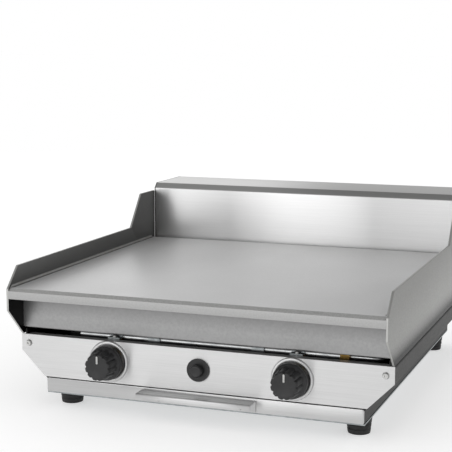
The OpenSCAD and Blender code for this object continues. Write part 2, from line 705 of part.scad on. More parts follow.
module right_tap_plug() color("#b9975b") difference() {
    union() {
        rod_y(burner_x, burner_z, plug_r0, plug_y0, plug_y0 + plug_l, plug_r1);
        block(burner_x - tang_w / 2, burner_x + tang_w / 2, tap_y0 + bonnet_t, plug_y0 + eps,
            burner_z - tang_t / 2, burner_z + tang_t / 2);
    }
    rod_z(burner_x, manifold_y, gas_way_r, burner_z, burner_z + 9);
    rod_y(burner_x, burner_z, gas_way_r, manifold_y - gas_way_r, plug_y0 + plug_l + 1);
}

module left_tap_plug() mirror([1, 0, 0]) right_tap_plug();

module injectors() color("#c9a866") both_sides() difference() {
    union() {
        rod_y(burner_x, burner_z, jet_r, tap_y0 + tap_l, tap_y0 + tap_l + outlet_l);
        hex_y(burner_x, burner_z, 5, tap_y0 + tap_l + outlet_l, tap_y0 + tap_l + jet_l);
    }
    rod_y(burner_x, burner_z, 0.6, tap_y0 + tap_l - 1, tap_y0 + tap_l + jet_l + 1);
}

module right_tap_stem() color("#c9a866") difference() {
    union() {
        rod_y(burner_x, burner_z, stem_r, stem_y0, tap_y0 + bonnet_t + collar_l);
        rod_y(burner_x, burner_z, collar_r, tap_y0 + bonnet_t, tap_y0 + bonnet_t + collar_l);
    }
    block(burner_x - plug_r0, burner_x + plug_r0, tap_y0 + bonnet_t - knob_push - 0.5,
        tap_y0 + bonnet_t + collar_l + 1, burner_z - tang_t / 2 - tang_gap, burner_z + tang_t / 2 + tang_gap);
}

module left_tap_stem() mirror([1, 0, 0]) right_tap_stem();

module right_knob() color("#3a3a3c") difference() {
    turned_y(burner_x, burner_z, [[0, knob_y0 + 1], [knob_r - 6, knob_y0], [knob_r - 4, knob_y0 + 1.5],
        [knob_r - 3, knob_back - skirt_l], [knob_r - 0.6, knob_back - skirt_l + 2], [knob_r, knob_back - 4],
        [knob_r, knob_back], [0, knob_back]]);
    for (i = [0:flutes - 1]) translate([burner_x, 0, burner_z]) rotate([0, i * 360 / flutes, 0])
        rod_y(0, knob_r - 1.5, flute_r, knob_y0 - 1, knob_back - skirt_l);
    rod_y(burner_x, burner_z, stem_r, stem_y0, knob_back + 1);
}

module left_knob() mirror([1, 0, 0]) right_knob();

module knob_bezels() color("#d0d0d0") both_sides() turned_y(burner_x, burner_z, [
    [stem_r + 2, panel_y - 1.5], [knob_r - 2, panel_y - 1.5], [knob_r + 1, panel_y - bezel_t],
    [bezel_r - 1, panel_y - bezel_t], [bezel_r, panel_y - bezel_t + 1], [bezel_r, panel_y],
    [stem_r + 2, panel_y]]);

// Ignition and flame sensing

module igniter_body() color("#2f2f31") difference() {
    union() {
        rod_y(0, burner_z, barrel_r + 3.5, panel_y - flange_t, panel_y);
        rod_y(0, burner_z, barrel_r, panel_y - eps, panel_y + barrel_l);
        for (s = [-1, 1]) rod_y(s * terminal_x, burner_z, 1.5, panel_y + barrel_l - eps,
            panel_y + barrel_l + terminal_l);
    }
    rod_y(0, burner_z, button_r + run_gap, panel_y - flange_t - 1, panel_y + socket_l);
}

module igniter_nut() color("#2f2f31") difference() {
    hex_y(0, burner_z, barrel_r + 4, panel_back, panel_back + 5);
    rod_y(0, burner_z, barrel_r + hole_gap, panel_back - 1, panel_back + 6);
}

module igniter_button() color("#3a3a3c") turned_y(0, burner_z, [[0, button_face - 2.6],
    [button_r - 1.5, button_face - 2.2], [button_r, button_face - 0.8], [button_r, panel_y + 6],
    [0, panel_y + 6]]);

module spark_electrodes() color("#e8e4da") both_sides() {
    rod_y(spark_x, probe_z, ceramic_r, probe_front, tub_front + 10);
    rod_y(spark_x, probe_z, ceramic_r + ferrule_w, tub_front - ferrule_t, tub_front);
    swept_tube(folded([[spark_x, tub_front + 9, probe_z], [spark_x, tub_front + 26, probe_z],
        [burner_x - 12, port_y0 + 6, burner_z + burner_r + 1]], 5, 3), wire_r, 8);
}

module right_spark_lead() color("#b8b4aa") swept_tube(folded([
    [terminal_x, panel_y + barrel_l + terminal_l, burner_z], [terminal_x, tub_front - 14, burner_z],
    [24, tub_front - 14, burner_z + 2], [spark_x - 20, tub_front - 20, probe_z],
    [spark_x, tub_front - 20, probe_z], [spark_x, probe_front, probe_z]], lead_bend, 4), lead_r);

module left_spark_lead() mirror([1, 0, 0]) right_spark_lead();

module right_flame_sensor() color("#b8a070") {
    rod_y(sensor_x, probe_z, sensor_r, probe_front, port_y0 + 14);
    rod_y(sensor_x, probe_z, sensor_r + ferrule_w, tub_front - ferrule_t, tub_front);
    swept_tube(folded([[burner_x + tap_r + 4, manifold_y, burner_z], [sensor_x, manifold_y, burner_z],
        [sensor_x, tub_front - 20, probe_z], [sensor_x, probe_front, probe_z]], 6, 4), lead_r);
}

module left_flame_sensor() mirror([1, 0, 0]) right_flame_sensor();

// Gas supply

// A quarter bend in the flat, centred on c, from angle q on
module elbow(c, q, r) translate([c[0], c[1], gas_z]) rotate([0, 0, q]) rotate_extrude(angle = 90)
    translate([pipe_bend, 0]) circle(r);

module pipe_run(r, tip) {
    rod_x(manifold_y, gas_z, r, manifold_half - 2 - tip, pipe_x - pipe_bend);
    elbow([pipe_x - pipe_bend, manifold_y + pipe_bend], -90, r);
    rod_y(pipe_x, gas_z, r, manifold_y + pipe_bend, pipe_y - pipe_bend);
    elbow([pipe_x - pipe_bend, pipe_y - pipe_bend], 0, r);
    rod_x(pipe_y, gas_z, r, inlet_x + pipe_bend, pipe_x - pipe_bend);
    elbow([inlet_x + pipe_bend, pipe_y + pipe_bend], 180, r);
    rod_y(inlet_x, gas_z, r, pipe_y + pipe_bend, union_y + tip);
}

module supply_pipe() color("#b8b8b6") difference() {
    pipe_run(pipe_r, 0);
    pipe_run(pipe_r - 1, 1);
}

module pipe_nuts() color("#c9a866") difference() {
    union() {
        translate([manifold_half, manifold_y, gas_z]) rotate([0, 90, 0])
            cylinder(r = union_r, h = union_l, $fn = 6);
        hex_y(inlet_x, gas_z, union_r, union_y - union_l, union_y);
    }
    rod_x(manifold_y, gas_z, pipe_r + hole_gap, manifold_half - 1, manifold_half + union_l + 1);
    rod_y(inlet_x, gas_z, pipe_r + hole_gap, union_y - union_l - 1, union_y + 1);
}

module inlet_fitting() color("#c9a866") difference() {
    union() {
        rod_y(inlet_x, gas_z, inlet_r, union_y, inlet_end);
        hex_y(inlet_x, gas_z, hex_r, cover_rear, cover_rear + inlet_hex);
    }
    rod_y(inlet_x, gas_z, pipe_r, union_y - 1, inlet_end + 1);
}

module inlet_nut() color("#c9a866") difference() {
    hex_y(inlet_x, gas_z, hex_r, cover_in - 5, cover_in);
    rod_y(inlet_x, gas_z, inlet_r + hole_gap, cover_in - 6, cover_in + 1);
}

place() griddle_plate();
place() left_side_plate();
place() right_side_plate();
place() corner_seams();
place() front_apron();
place() locating_lugs();
place() back_panel();
place() left_end_cap();
place() right_end_cap();
place() rear_cover();
place() rear_screws();
place() left_base_side();
place() right_base_side();
place() bottom_plate();
place() burner_box();
place() control_panel();
place() panel_screws();
place() grease_gutter();
place() gutter_spout();
place() tray_rails();
place() rubber_feet();
place() foot_screws();
place() foot_nuts();
place() drip_tray();
place() tray_sides();
place() tray_ends();
place() tray_front();
place() tray_pull();
place() tray_screws();
place() left_burner();
place() right_burner();
place() burner_brackets();
place() gas_manifold();
place() manifold_brackets();
place() manifold_clamps();
place() clamp_screws();
place() left_tap_body();
place() right_tap_body();
place() tap_bonnets();
place() left_tap_plug();
place() right_tap_plug();
place() injectors();
place() left_tap_stem();
place() right_tap_stem();
place() left_knob();
place() right_knob();
place() knob_bezels();
place() igniter_body();
place() igniter_nut();
place() igniter_button();
place() spark_electrodes();
place() left_spark_lead();
place() right_spark_lead();
place() left_flame_sensor();
place() right_flame_sensor();
place() supply_pipe();
place() pipe_nuts();
place() inlet_fitting();
place() inlet_nut();
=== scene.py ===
"""Looks of a table-top gas plancha griddle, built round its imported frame.

The axes are the frame's: +X to the cook's right, +Y towards the splash back, +Z up. The sizes of pieces are
in millimetres from the deck, which is the middle of the plate's front top edge, and turn into the frame's
metres where a mesh or a ramp is made. SHEET is the gauge of the folded sheets and FOLD the radius of their
folds. The studio is in metres. The classes below stand for the griddle's finishes and sub-assemblies. Each
sub-assembly makes the surfaces that need more than the frame's plain solids, and dresses those solids that
are shown as they are.
"""
import logging
import math
from dataclasses import dataclass, field
from enum import Enum

import bmesh
import bpy
import numpy as np
from bpy.types import ID, Material, Node, NodeSocket, NodeTree, Object, World
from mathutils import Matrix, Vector


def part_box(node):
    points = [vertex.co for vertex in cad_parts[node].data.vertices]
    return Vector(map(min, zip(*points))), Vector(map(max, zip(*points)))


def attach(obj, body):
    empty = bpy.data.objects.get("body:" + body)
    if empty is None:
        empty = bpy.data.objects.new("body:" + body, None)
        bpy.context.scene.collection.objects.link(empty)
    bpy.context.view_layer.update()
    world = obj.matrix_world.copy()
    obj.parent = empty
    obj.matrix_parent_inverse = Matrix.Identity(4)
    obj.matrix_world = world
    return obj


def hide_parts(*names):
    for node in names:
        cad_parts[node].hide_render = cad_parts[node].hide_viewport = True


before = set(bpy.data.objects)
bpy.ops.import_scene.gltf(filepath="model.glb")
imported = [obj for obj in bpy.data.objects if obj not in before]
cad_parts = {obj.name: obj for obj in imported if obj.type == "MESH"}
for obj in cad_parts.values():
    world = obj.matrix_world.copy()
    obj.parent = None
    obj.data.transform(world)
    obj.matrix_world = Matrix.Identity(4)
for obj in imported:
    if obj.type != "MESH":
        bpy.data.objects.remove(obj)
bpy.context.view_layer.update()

MM = 0.001
SHEET = 1.5
FOLD = 2.2
NOSE_RUN = 4.5
PLATE_LOW, PLATE_HIGH = (np.array(corner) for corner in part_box("griddle_plate"))
DECK = np.array([0.0, PLATE_LOW[1] + NOSE_RUN * MM, PLATE_HIGH[2]])
HALF_PLATE, PLATE_REAR = ((PLATE_HIGH - DECK)[:2] / MM).round(3).tolist()
PLATE_THICKNESS = round(float(PLATE_HIGH[2] - PLATE_LOW[2]) / MM, 3)
LOG = logging.getLogger("plancha")
Mesh = tuple[np.ndarray, list]


class Axis(Enum):
    """The direction in which a grain or a solid runs."""

    X = 0
    Y = 1
    Z = 2


class Body(str, Enum):
    """The bodies of the frame."""

    BASE = "base"
    TOP = "griddle_top"
    TRAY = "tray"
    LEFT_KNOB = "left_tap_push"
    RIGHT_KNOB = "right_tap_push"
    IGNITER = "igniter_push"


class Side(Enum):
    """A side of the griddle, and the sign of its X coordinates."""

    LEFT = -1
    RIGHT = 1


class Joining(Enum):
    """How the values of several ramps become one."""

    PRODUCT = "MULTIPLY"
    SUM = "ADD"


class Ease(Enum):
    """The course of a ramp between its ends."""

    STRAIGHT = "LINEAR"
    SMOOTH = "SMOOTHSTEP"


def srgb(code: str) -> tuple[float, float, float, float]:
    """Turn an sRGB hex colour into the linear values that a shader takes.

    Args:
        code: Six hex digits, with or without a leading hash.

    Returns:
        Linear red, green and blue, and an alpha of 1.
    """
    digits = code.lstrip("#")
    raw = np.array([int(digits[i:i + 2], 16) / 255 for i in (0, 2, 4)])
    linear = np.where(raw <= 0.04045, raw / 12.92, ((raw + 0.055) / 1.055) ** 2.4)
    return (float(linear[0]), float(linear[1]), float(linear[2]), 1.0)


def add_node(tree: NodeTree, kind: str, settings: dict | None = None,
             links: dict | None = None) -> Node:
    """Add a node, set it up and link its inputs.

    Args:
        tree: The node tree that takes the node.
        kind: The node's type name, such as ShaderNodeTexNoise.
        settings: Attribute or input-socket names (or socket numbers) and their values.
        links: Input-socket names (or numbers) and the output sockets that feed them.

    Returns:
        The new node.
    """
    node = tree.nodes.new(kind)
    for key, value in (settings or {}).items():
        if isinstance(key, str) and hasattr(node, key):
            setattr(node, key, value)
        else:
            node.inputs[key].default_value = value
    for key, source in (links or {}).items():
        tree.links.new(source, node.inputs[key])
    return node


def emptied_tree(owner: Material | World) -> NodeTree:
    """Give the node tree of a material or world, switched on and emptied."""
    owner.use_nodes = True
    owner.node_tree.nodes.clear()
    return owner.node_tree


def add_object(name: str, data: ID) -> Object:
    """Give a new object that shows the data, linked to the scene."""
    thing = bpy.data.objects.new(name, data)
    bpy.context.scene.collection.objects.link(thing)
    return thing


@dataclass(frozen=True)
class Ramp:
    """A ramp over a source: its value is start up to low and end from high on."""

    source: NodeSocket
    low: float
    high: float
    start: float = 0.0
    end: float = 1.0
    ease: Ease = Ease.STRAIGHT


def joined_ramps(tree: NodeTree, joining: Joining, *ramps: Ramp) -> NodeSocket:
    """Give one value for several ramps.

    Args:
        tree: The node tree that takes the nodes.
        joining: Whether the ramps' values are multiplied or added up.
        ramps: The ramps, at least one.

    Returns:
        The socket that carries the value.
    """
    total = None
    for ramp in ramps:
        value = add_node(tree, "ShaderNodeMapRange", {
            "interpolation_type": ramp.ease.value, "From Min": ramp.low, "From Max": ramp.high,
            "To Min": ramp.start, "To Max": ramp.end}, {"Value": ramp.source}).outputs["Result"]
        total = value if total is None else add_node(
            tree, "ShaderNodeMath", {"operation": joining.value}, {0: total, 1: value}).outputs[0]
    return total


@dataclass
class Shader:
    """A material under construction: its tree, its surface shader and its object coordinates in metres."""

    name: str
    metallic: float
    anisotropy: float = 0.0
    coat: float = 0.0
    material: Material = field(init=False)
    tree: NodeTree = field(init=False)
    surface: Node = field(init=False)
    coords: NodeSocket = field(init=False)
    place: dict[Axis, NodeSocket] = field(init=False)

    def __post_init__(self) -> None:
        """Make the material with its shader and its coordinates."""
        self.material = bpy.data.materials.new(self.name)
        self.tree = emptied_tree(self.material)
        self.surface = add_node(self.tree, "ShaderNodeBsdfPrincipled", {
            "Metallic": self.metallic, "Anisotropic": self.anisotropy, "Coat Weight": self.coat})
        add_node(self.tree, "ShaderNodeOutputMaterial", links={"Surface": self.surface.outputs["BSDF"]})
        self.coords = add_node(self.tree, "ShaderNodeTexCoord").outputs["Object"]
        split = add_node(self.tree, "ShaderNodeSeparateXYZ", links={"Vector": self.coords})
        self.place = {axis: split.outputs[axis.value] for axis in Axis}

    def pattern(self, size: tuple[float, float, float], detail: float = 2.0,
                distortion: float = 0.0) -> NodeSocket:
        """Give a noise from 0 to 1 on the object coordinates.

        Args:
            size: Millimetres that a cell of the noise measures along X, Y and Z.
            detail: Finer layers of noise on top of the cells.
            distortion: How far the cells are stirred.

        Returns:
            The socket that carries the noise.
        """
        scale = tuple(1 / (side * MM) for side in size)
        placed = add_node(self.tree, "ShaderNodeMapping", {"Scale": scale}, {"Vector": self.coords})
        return add_node(self.tree, "ShaderNodeTexNoise",
                        {"Scale": 1.0, "Detail": detail, "Distortion": distortion},
                        {"Vector": placed.outputs["Vector"]}).outputs["Fac"]

    def along(self, axis: Axis, low: float, high: float, start: float = 0.0, end: float = 1.0) -> Ramp:
        """Give the ramp between two places on an axis, in deck millimetres."""
        zero = float(DECK[axis.value])
        return Ramp(self.place[axis], zero + low * MM, zero + high * MM, start, end)

    def aside(self, low: float, high: float, start: float = 0.0, end: float = 1.0) -> Ramp:
        """Give the ramp between two distances from the middle plane, in millimetres."""
        distance = add_node(self.tree, "ShaderNodeMath", {"operation": "ABSOLUTE"}, {0: self.place[Axis.X]})
        return Ramp(distance.outputs[0], low * MM, high * MM, start, end)

    def product(self, *ramps: Ramp) -> NodeSocket:
        """Give the product of the ramps' values."""
        return joined_ramps(self.tree, Joining.PRODUCT, *ramps)

    def layer(self, under: str | NodeSocket, over: str | NodeSocket, *ramps: Ramp) -> NodeSocket:
        """Lay a colour over another one.

        Args:
            under: The colour below, a hex code or a socket.
            over: The colour on top, a hex code or a socket.
            ramps: Their product is the share that the upper colour covers.

        Returns:
            The socket that carries the mixed colour.
        """
        both = add_node(self.tree, "ShaderNodeMix", {"data_type": "RGBA"}, {0: self.product(*ramps)})
        for slot, colour in ((6, under), (7, over)):
            if isinstance(colour, str):
                both.inputs[slot].default_value = srgb(colour)
            else:
                self.tree.links.new(colour, both.inputs[slot])
        return both.outputs[2]

    def relief(self, *heights: tuple[NodeSocket, float]) -> None:
        """Stack bumps on the surface.

        Args:
            heights: Pairs of a height socket, from 0 to 1, and its depth in millimetres.
        """
        normal = None
        for height, depth in heights:
            links = {"Height": height} | ({"Normal": normal} if normal else {})
            normal = add_node(self.tree, "ShaderNodeBump", {"Strength": 1.0, "Distance": depth * MM},
                              links).outputs["Normal"]
        self.tree.links.new(normal, self.surface.inputs["Normal"])

    def finish(self, colour: NodeSocket, *roughness: Ramp) -> Material:
        """Feed the surface.

        Args:
            colour: The socket that carries the colour.
            roughness: Ramps whose sum is the roughness.

        Returns:
            The material.
        """
        self.tree.links.new(colour, self.surface.inputs["Base Color"])
        rough = joined_ramps(self.tree, Joining.SUM, *roughness)
        self.tree.links.new(rough, self.surface.inputs["Roughness"])
        return self.material


def rounded_outline(corners: np.ndarray, radius: float, steps: int = 6, closed: bool = True) -> np.ndarray:
    """Round the corners of an outline, all of them at once.

    Each corner b between a and c becomes an arc that touches both legs: with u and v the unit vectors from b
    to a and to c and h half the angle between them, the arc starts at b + u·d for d = r / tan h and turns
    through 180° − 2h about the centre b + (u + v)·e / sin h, where e = d·tan h and u + v has length 1.

    Args:
        corners: Points of shape (n, 2).
        radius: Radius of every corner, less where a leg is too short for it.
        steps: Straight steps in each arc.
        closed: Whether the last point joins the first.

    Returns:
        The rounded outline, of shape (m, 2).
    """
    corners = np.asarray(corners, float)
    inner = corners if closed else corners[1:-1]
    before = np.roll(corners, 1, axis=0) if closed else corners[:-2]
    after = np.roll(corners, -1, axis=0) if closed else corners[2:]
    leg_u, leg_v = before - inner, after - inner
    len_u, len_v = np.linalg.norm(leg_u, axis=1), np.linalg.norm(leg_v, axis=1)
    u, v = leg_u / len_u[:, None], leg_v / len_v[:, None]
    half = np.arccos(np.clip((u * v).sum(axis=1), -1, 1)) / 2
    reach = np.minimum(radius / np.tan(half), 0.49 * np.minimum(len_u, len_v))
    arc = reach * np.tan(half)
    bisector = (u + v) / np.linalg.norm(u + v, axis=1)[:, None]
    centre = inner + bisector * (arc / np.sin(half))[:, None]
    start = inner + u * reach[:, None]
    turn = ((np.pi - 2 * half)[:, None] * np.linspace(0, 1, steps + 1)[None, :])[..., None]
    points = (centre[:, None] + (start - centre)[:, None] * np.cos(turn)
              - (u * arc[:, None])[:, None] * np.sin(turn)).reshape(-1, 2)
    return points if closed else np.vstack([corners[:1], points, corners[-1:]])


def beside(path: np.ndarray, distance: float, closed: bool) -> np.ndarray:
    """Shift a path to its left.

    Each point p moves to p + (m + n)·d / (1 + m·n), where m and n are the unit normals of the edges before
    and after it and d is the distance, so that every edge keeps that distance from its old place.

    Args:
        path: Points of shape (n, 2).
        distance: How far to the left, negative for the right.
        closed: Whether the last point joins the first.

    Returns:
        The shifted points.
    """
    edge = np.roll(path, -1, axis=0) - path
    if not closed:
        edge[-1] = edge[-2]
    edge /= np.linalg.norm(edge, axis=1)[:, None]
    normal = np.stack([-edge[:, 1], edge[:, 0]], axis=1)
    earlier = np.roll(normal, 1, axis=0)
    if not closed:
        earlier[0] = normal[0]
    scale = 1 + (normal * earlier).sum(axis=1)
    return path + (normal + earlier) / scale[:, None] * distance


def folded_sheet(path: list, radius: float, thickness: float) -> np.ndarray:
    """Give the closed outline of a folded sheet that lies to the right of its path."""
    outer = rounded_outline(path, radius, closed=False)
    return np.vstack([outer, beside(outer, -thickness, closed=False)[::-1]])


def signed_area(outline: np.ndarray) -> float:
    """Give the outline's area, positive where it runs anticlockwise."""
    x, y = outline.T
    return float((x * np.roll(y, -1) - y * np.roll(x, -1)).sum() / 2)


def grid_faces(rows: int, columns: int) -> list:
    """Give the quads of a grid of points whose rows are closed rings."""
    row = np.arange(rows - 1)[:, None] * columns
    column = np.arange(columns)[None, :]
    following = (column + 1) % columns
    above = row + columns
    quads = np.stack([row + column, row + following, above + following, above + column], axis=-1)
    return quads.reshape(-1, 4).tolist()


def capped_faces(rows: int, columns: int) -> list:
    """Give the quads of a grid whose rows are closed rings, and a flat face over each end."""
    last = (rows - 1) * columns
    return grid_faces(rows, columns) + [list(range(columns))[::-1], list(range(last, last + columns))]


def prism(outline: np.ndarray, low: float, high: float, axis: Axis, arris: float, steps: int) -> Mesh:
    """Extrude an outline along an axis with rounded arrises.

    Ring k of the round at an end lies arris·(1 − cos a) from that end and is the outline moved inwards by
    arris·(1 − sin a), with a going from 0 to 90°. The two end faces are flat.

    Args:
        outline: Points of shape (n, 2) in the two other axes, in X, Y, Z order.
        low: Where the solid starts along the axis.
        high: Where it ends.
        axis: The direction of the extrusion.
        arris: Radius of the rounded arris.
        steps: Straight steps in the round.

    Returns:
        Vertices of shape (m, 3) and faces.
    """
    if signed_area(outline) < 0:
        outline = outline[::-1]
    angles = np.linspace(0, np.pi / 2, steps + 1)
    insets = arris * (1 - np.sin(angles))
    depths = arris * (1 - np.cos(angles))
    places = np.concatenate([low + depths, high - depths[::-1]])
    insets = np.concatenate([insets, insets[::-1]])
    others = [a.value for a in Axis if a is not axis]
    shift = beside(outline, 1.0, closed=True) - outline
    verts = np.empty((len(places), len(outline), 3))
    verts[..., others] = outline[None] + shift[None] * insets[:, None, None]
    verts[..., axis.value] = places[:, None]
    return verts.reshape(-1, 3), capped_faces(len(places), len(outline))


def turned(profile: list, centre: tuple[float, float], axis: Axis, sides: int,
           wave: np.ndarray | None = None) -> Mesh:
    """Turn a profile round an axis.

    Point (r, h) of the profile at angle q lies r·w·cos q and r·w·sin q from the axis, at height h along it,
    where w is the wave at that point and angle, and 1 without one.

    Args:
        profile: Points (radius, height). A radius of 0 closes an end.
        centre: The axis's place in the two other axes, in X, Y, Z order.
        axis: The direction of the axis.
        sides: Steps round the axis.
        wave: Factors on the radius, of shape (n, sides).

    Returns:
        Vertices of shape (n·sides, 3) and faces.
    """
    profile = np.asarray(profile, float)
    angle = np.linspace(0, 2 * np.pi, sides, endpoint=False)
    radius = profile[:, :1] * (np.ones((1, sides)) if wave is None else wave)
    others = [a.value for a in Axis if a is not axis]
    verts = np.empty((len(profile), sides, 3))
    verts[..., others[0]] = centre[0] + radius * np.cos(angle)
    verts[..., others[1]] = centre[1] + radius * np.sin(angle)
    verts[..., axis.value] = profile[:, 1:]
    return verts.reshape(-1, 3), grid_faces(len(profile), sides)


def joined(parts: list[Mesh]) -> Mesh:
    """Join several meshes into one."""
    verts, faces, count = [], [], 0
    for points, polygons in parts:
        verts.append(points)
        faces += [[index + count for index in polygon] for polygon in polygons]
        count += len(points)
    return np.vstack(verts), faces


def mirrored(mesh: Mesh) -> Mesh:
    """Give a mesh seen in the middle plane, with its faces turned so that they still point outwards."""
    points, faces = mesh
    return points * [-1, 1, 1], [polygon[::-1] for polygon in faces]


def make_piece(name: str, mesh: Mesh, material: Material, body: Body,
               replaces: tuple[str, ...] = (), crease: float = 35.0) -> None:
    """Make an object of a mesh given in deck millimetres, smooth it and hang it on its body.

    Args:
        name: The piece's name.
        mesh: Its vertices and faces.
        material: Its finish.
        body: The body of the frame that it rides on.
        replaces: Nodes of the frame that it stands for.
        crease: Edges sharper than this many degrees stay sharp.
    """
    points, faces = mesh
    data = bpy.data.meshes.new(name)
    data.from_pydata((points * MM + DECK).tolist(), [], faces)
    solid = bmesh.new()
    solid.from_mesh(data)
    bmesh.ops.remove_doubles(solid, verts=solid.verts, dist=1e-6)
    bmesh.ops.dissolve_degenerate(solid, edges=solid.edges, dist=1e-7)
    bmesh.ops.recalc_face_normals(solid, faces=solid.faces)
    solid.to_mesh(data)
    solid.free()
    data.polygons.foreach_set("use_smooth", np.ones(len(data.polygons), dtype=bool))
    data.set_sharp_from_angle(angle=math.radians(crease))
    data.materials.append(material)
    piece = add_object(name, data)
    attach(piece, body.value)
    if replaces:
        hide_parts(*replaces)
    LOG.info("%s: %d points on %s", name, len(data.vertices), body.value)


def dress(material: Material, *nodes: str) -> None:
    """Give nodes of the frame a finish in place of their plain one."""
    for node in nodes:
        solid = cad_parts[node]
        solid.data.materials.clear()
        solid.data.materials.append(material)
        LOG.info("%s: dressed in %s", node, material.name)


@dataclass(frozen=True)
class BrushedSheet:
    """Cold-rolled stainless sheet, brushed along X: a soft satin sheen that smears reflections upright."""

    name: str = "brushed_stainless_sheet"
    colour: str = "#cccccc"
    streak: str = "#c3c3c3"
    roughness: float = 0.31
    anisotropy: float = 0.95
    grain_mm: float = 0.6
    grain_length_mm: float = 60.0
    fine_share: float = 0.8
    depth_mm: float = 0.002
    bow_mm: float = 0.0
    bow_from: float = 100.0
    bow_to: float = 208.0
    # Painted shade: tints that dull the bevel and the top of a folded panel.
    bevel_shade: str = ""
    bend_height: float = 67.0
    top: str = ""
    top_height: float = 73.0
    top_front: float = 403.0
    soft_edge: float = 0.3

    def material(self) -> Material:
        """Build the material: two widths of streak along X, in colour, roughness and a shallow relief.

        Real brushing is some 0.1 mm wide. The streaks are drawn as coarse as they need to be to show.
        Where bow_mm is given, the sheet's ends are drawn forward by it, as the square of the way from
        bow_from to bow_to, the way that end folds dish a panel. Where the bevel's and the top's tints are
        given, they are painted shade: a duller colour on the bevel from bend_height up, and on the top with
        its rear lip, from top_height up and behind top_front.
        """
        shader = Shader(self.name, 1.0, self.anisotropy)
        shader.surface.inputs["Anisotropic Rotation"].default_value = 0.25
        brushing = add_node(shader.tree, "ShaderNodeVectorTransform", {
            "vector_type": "VECTOR", "convert_from": "OBJECT", "convert_to": "WORLD",
            "Vector": (1.0, 0.0, 0.0)})
        shader.tree.links.new(brushing.outputs["Vector"], shader.surface.inputs["Tangent"])
        grain, length = self.grain_mm, self.grain_length_mm
        fine = shader.pattern((length, grain, grain), 3.0)
        wide = shader.pattern((4 * length, 8 * grain, 8 * grain), 2.0)
        streaks = joined_ramps(shader.tree, Joining.SUM, Ramp(fine, 0.0, 1.0, 0.0, self.fine_share),
                               Ramp(wide, 0.0, 1.0, 0.0, 1.0 - self.fine_share))
        colour = shader.layer(self.streak, self.colour, Ramp(streaks, 0.35, 0.68))
        # Painted shade on the bevel and on the top with its rear lip.
        if self.bevel_shade and self.top:
            for tint, axis, start in ((self.bevel_shade, Axis.Z, self.bend_height),
                                      (self.top, Axis.Z, self.top_height),
                                      (self.top, Axis.Y, self.top_front)):
                colour = shader.layer(colour, tint, shader.along(axis, start, start + self.soft_edge))
        heights = [(fine, self.depth_mm)]
        if self.bow_mm:
            way = shader.aside(self.bow_from, self.bow_to)
            heights.append((shader.product(way, way), self.bow_mm))
        shader.relief(*heights)
        return shader.finish(colour, Ramp(fine, 0.3, 0.7, self.roughness - 0.02, self.roughness + 0.025))


@dataclass(frozen=True)
class SandedPlate:
    """Thick mild steel plate, sanded to a fine even tooth: a flat grey sheen with faint rubbed patches."""

    name: str = "sanded_steel_plate"
    colour: str = "#cdcdcd"
    shade: str = "#c6c6c6"
    # Painted shade: the rear tint and the colours of the broken edge and the nose face.
    warm_rear_shade: str = "#bebdba"
    broken: str = "#a2a2a0"
    nose_face_shade: str = "#b3b3b2"
    metallic: float = 0.4
    roughness: float = 0.4
    tooth_mm: float = 1.3
    patch_mm: float = 90.0
    depth_mm: float = 0.02
    rear_shade_from: float = 250.5
    rear_shade_to: float = 400.5

    def material(self) -> Material:
        """Build the material.

        The top has faint patches, and towards its rear a painted shade with a faint warm tint. The broken
        front edge is darker as painted shade, and the front face below it a little darker as painted shade.
        A tooth lies over all of it, coarser than the grit's real marks, so that it shows.
        """
        shader = Shader(self.name, self.metallic)
        tooth = shader.pattern((self.tooth_mm,) * 3, 3.0)
        patch = shader.pattern((self.patch_mm, self.patch_mm * 1.6, self.patch_mm), 4.0, 0.6)
        colour = shader.layer(self.colour, self.shade, Ramp(patch, 0.35, 0.7, 0.0, 0.4))
        # Painted shade with a faint warm tint, patchy, towards the rear.
        colour = shader.layer(colour, self.warm_rear_shade, Ramp(patch, 0.0, 1.0),
                              shader.along(Axis.Y, self.rear_shade_from, self.rear_shade_to, 0.0, 0.5))
        # Painted shade: the broken front edge and the front face below it are darker.
        colour = shader.layer(self.broken, colour, shader.along(Axis.Y, -0.3, 0.0))
        colour = shader.layer(self.nose_face_shade, colour, shader.along(Axis.Y, 0.1 - NOSE_RUN, 0.3 - NOSE_RUN))
        colour = shader.layer(colour, self.shade, Ramp(tooth, 0.36, 0.64, 0.0, 0.5))
        shader.relief((tooth, self.depth_mm))
        return shader.finish(colour, Ramp(patch, 0.3, 0.7, self.roughness - 0.02, self.roughness + 0.03),
                             Ramp(tooth, 0.3, 0.7, -0.04, 0.04))


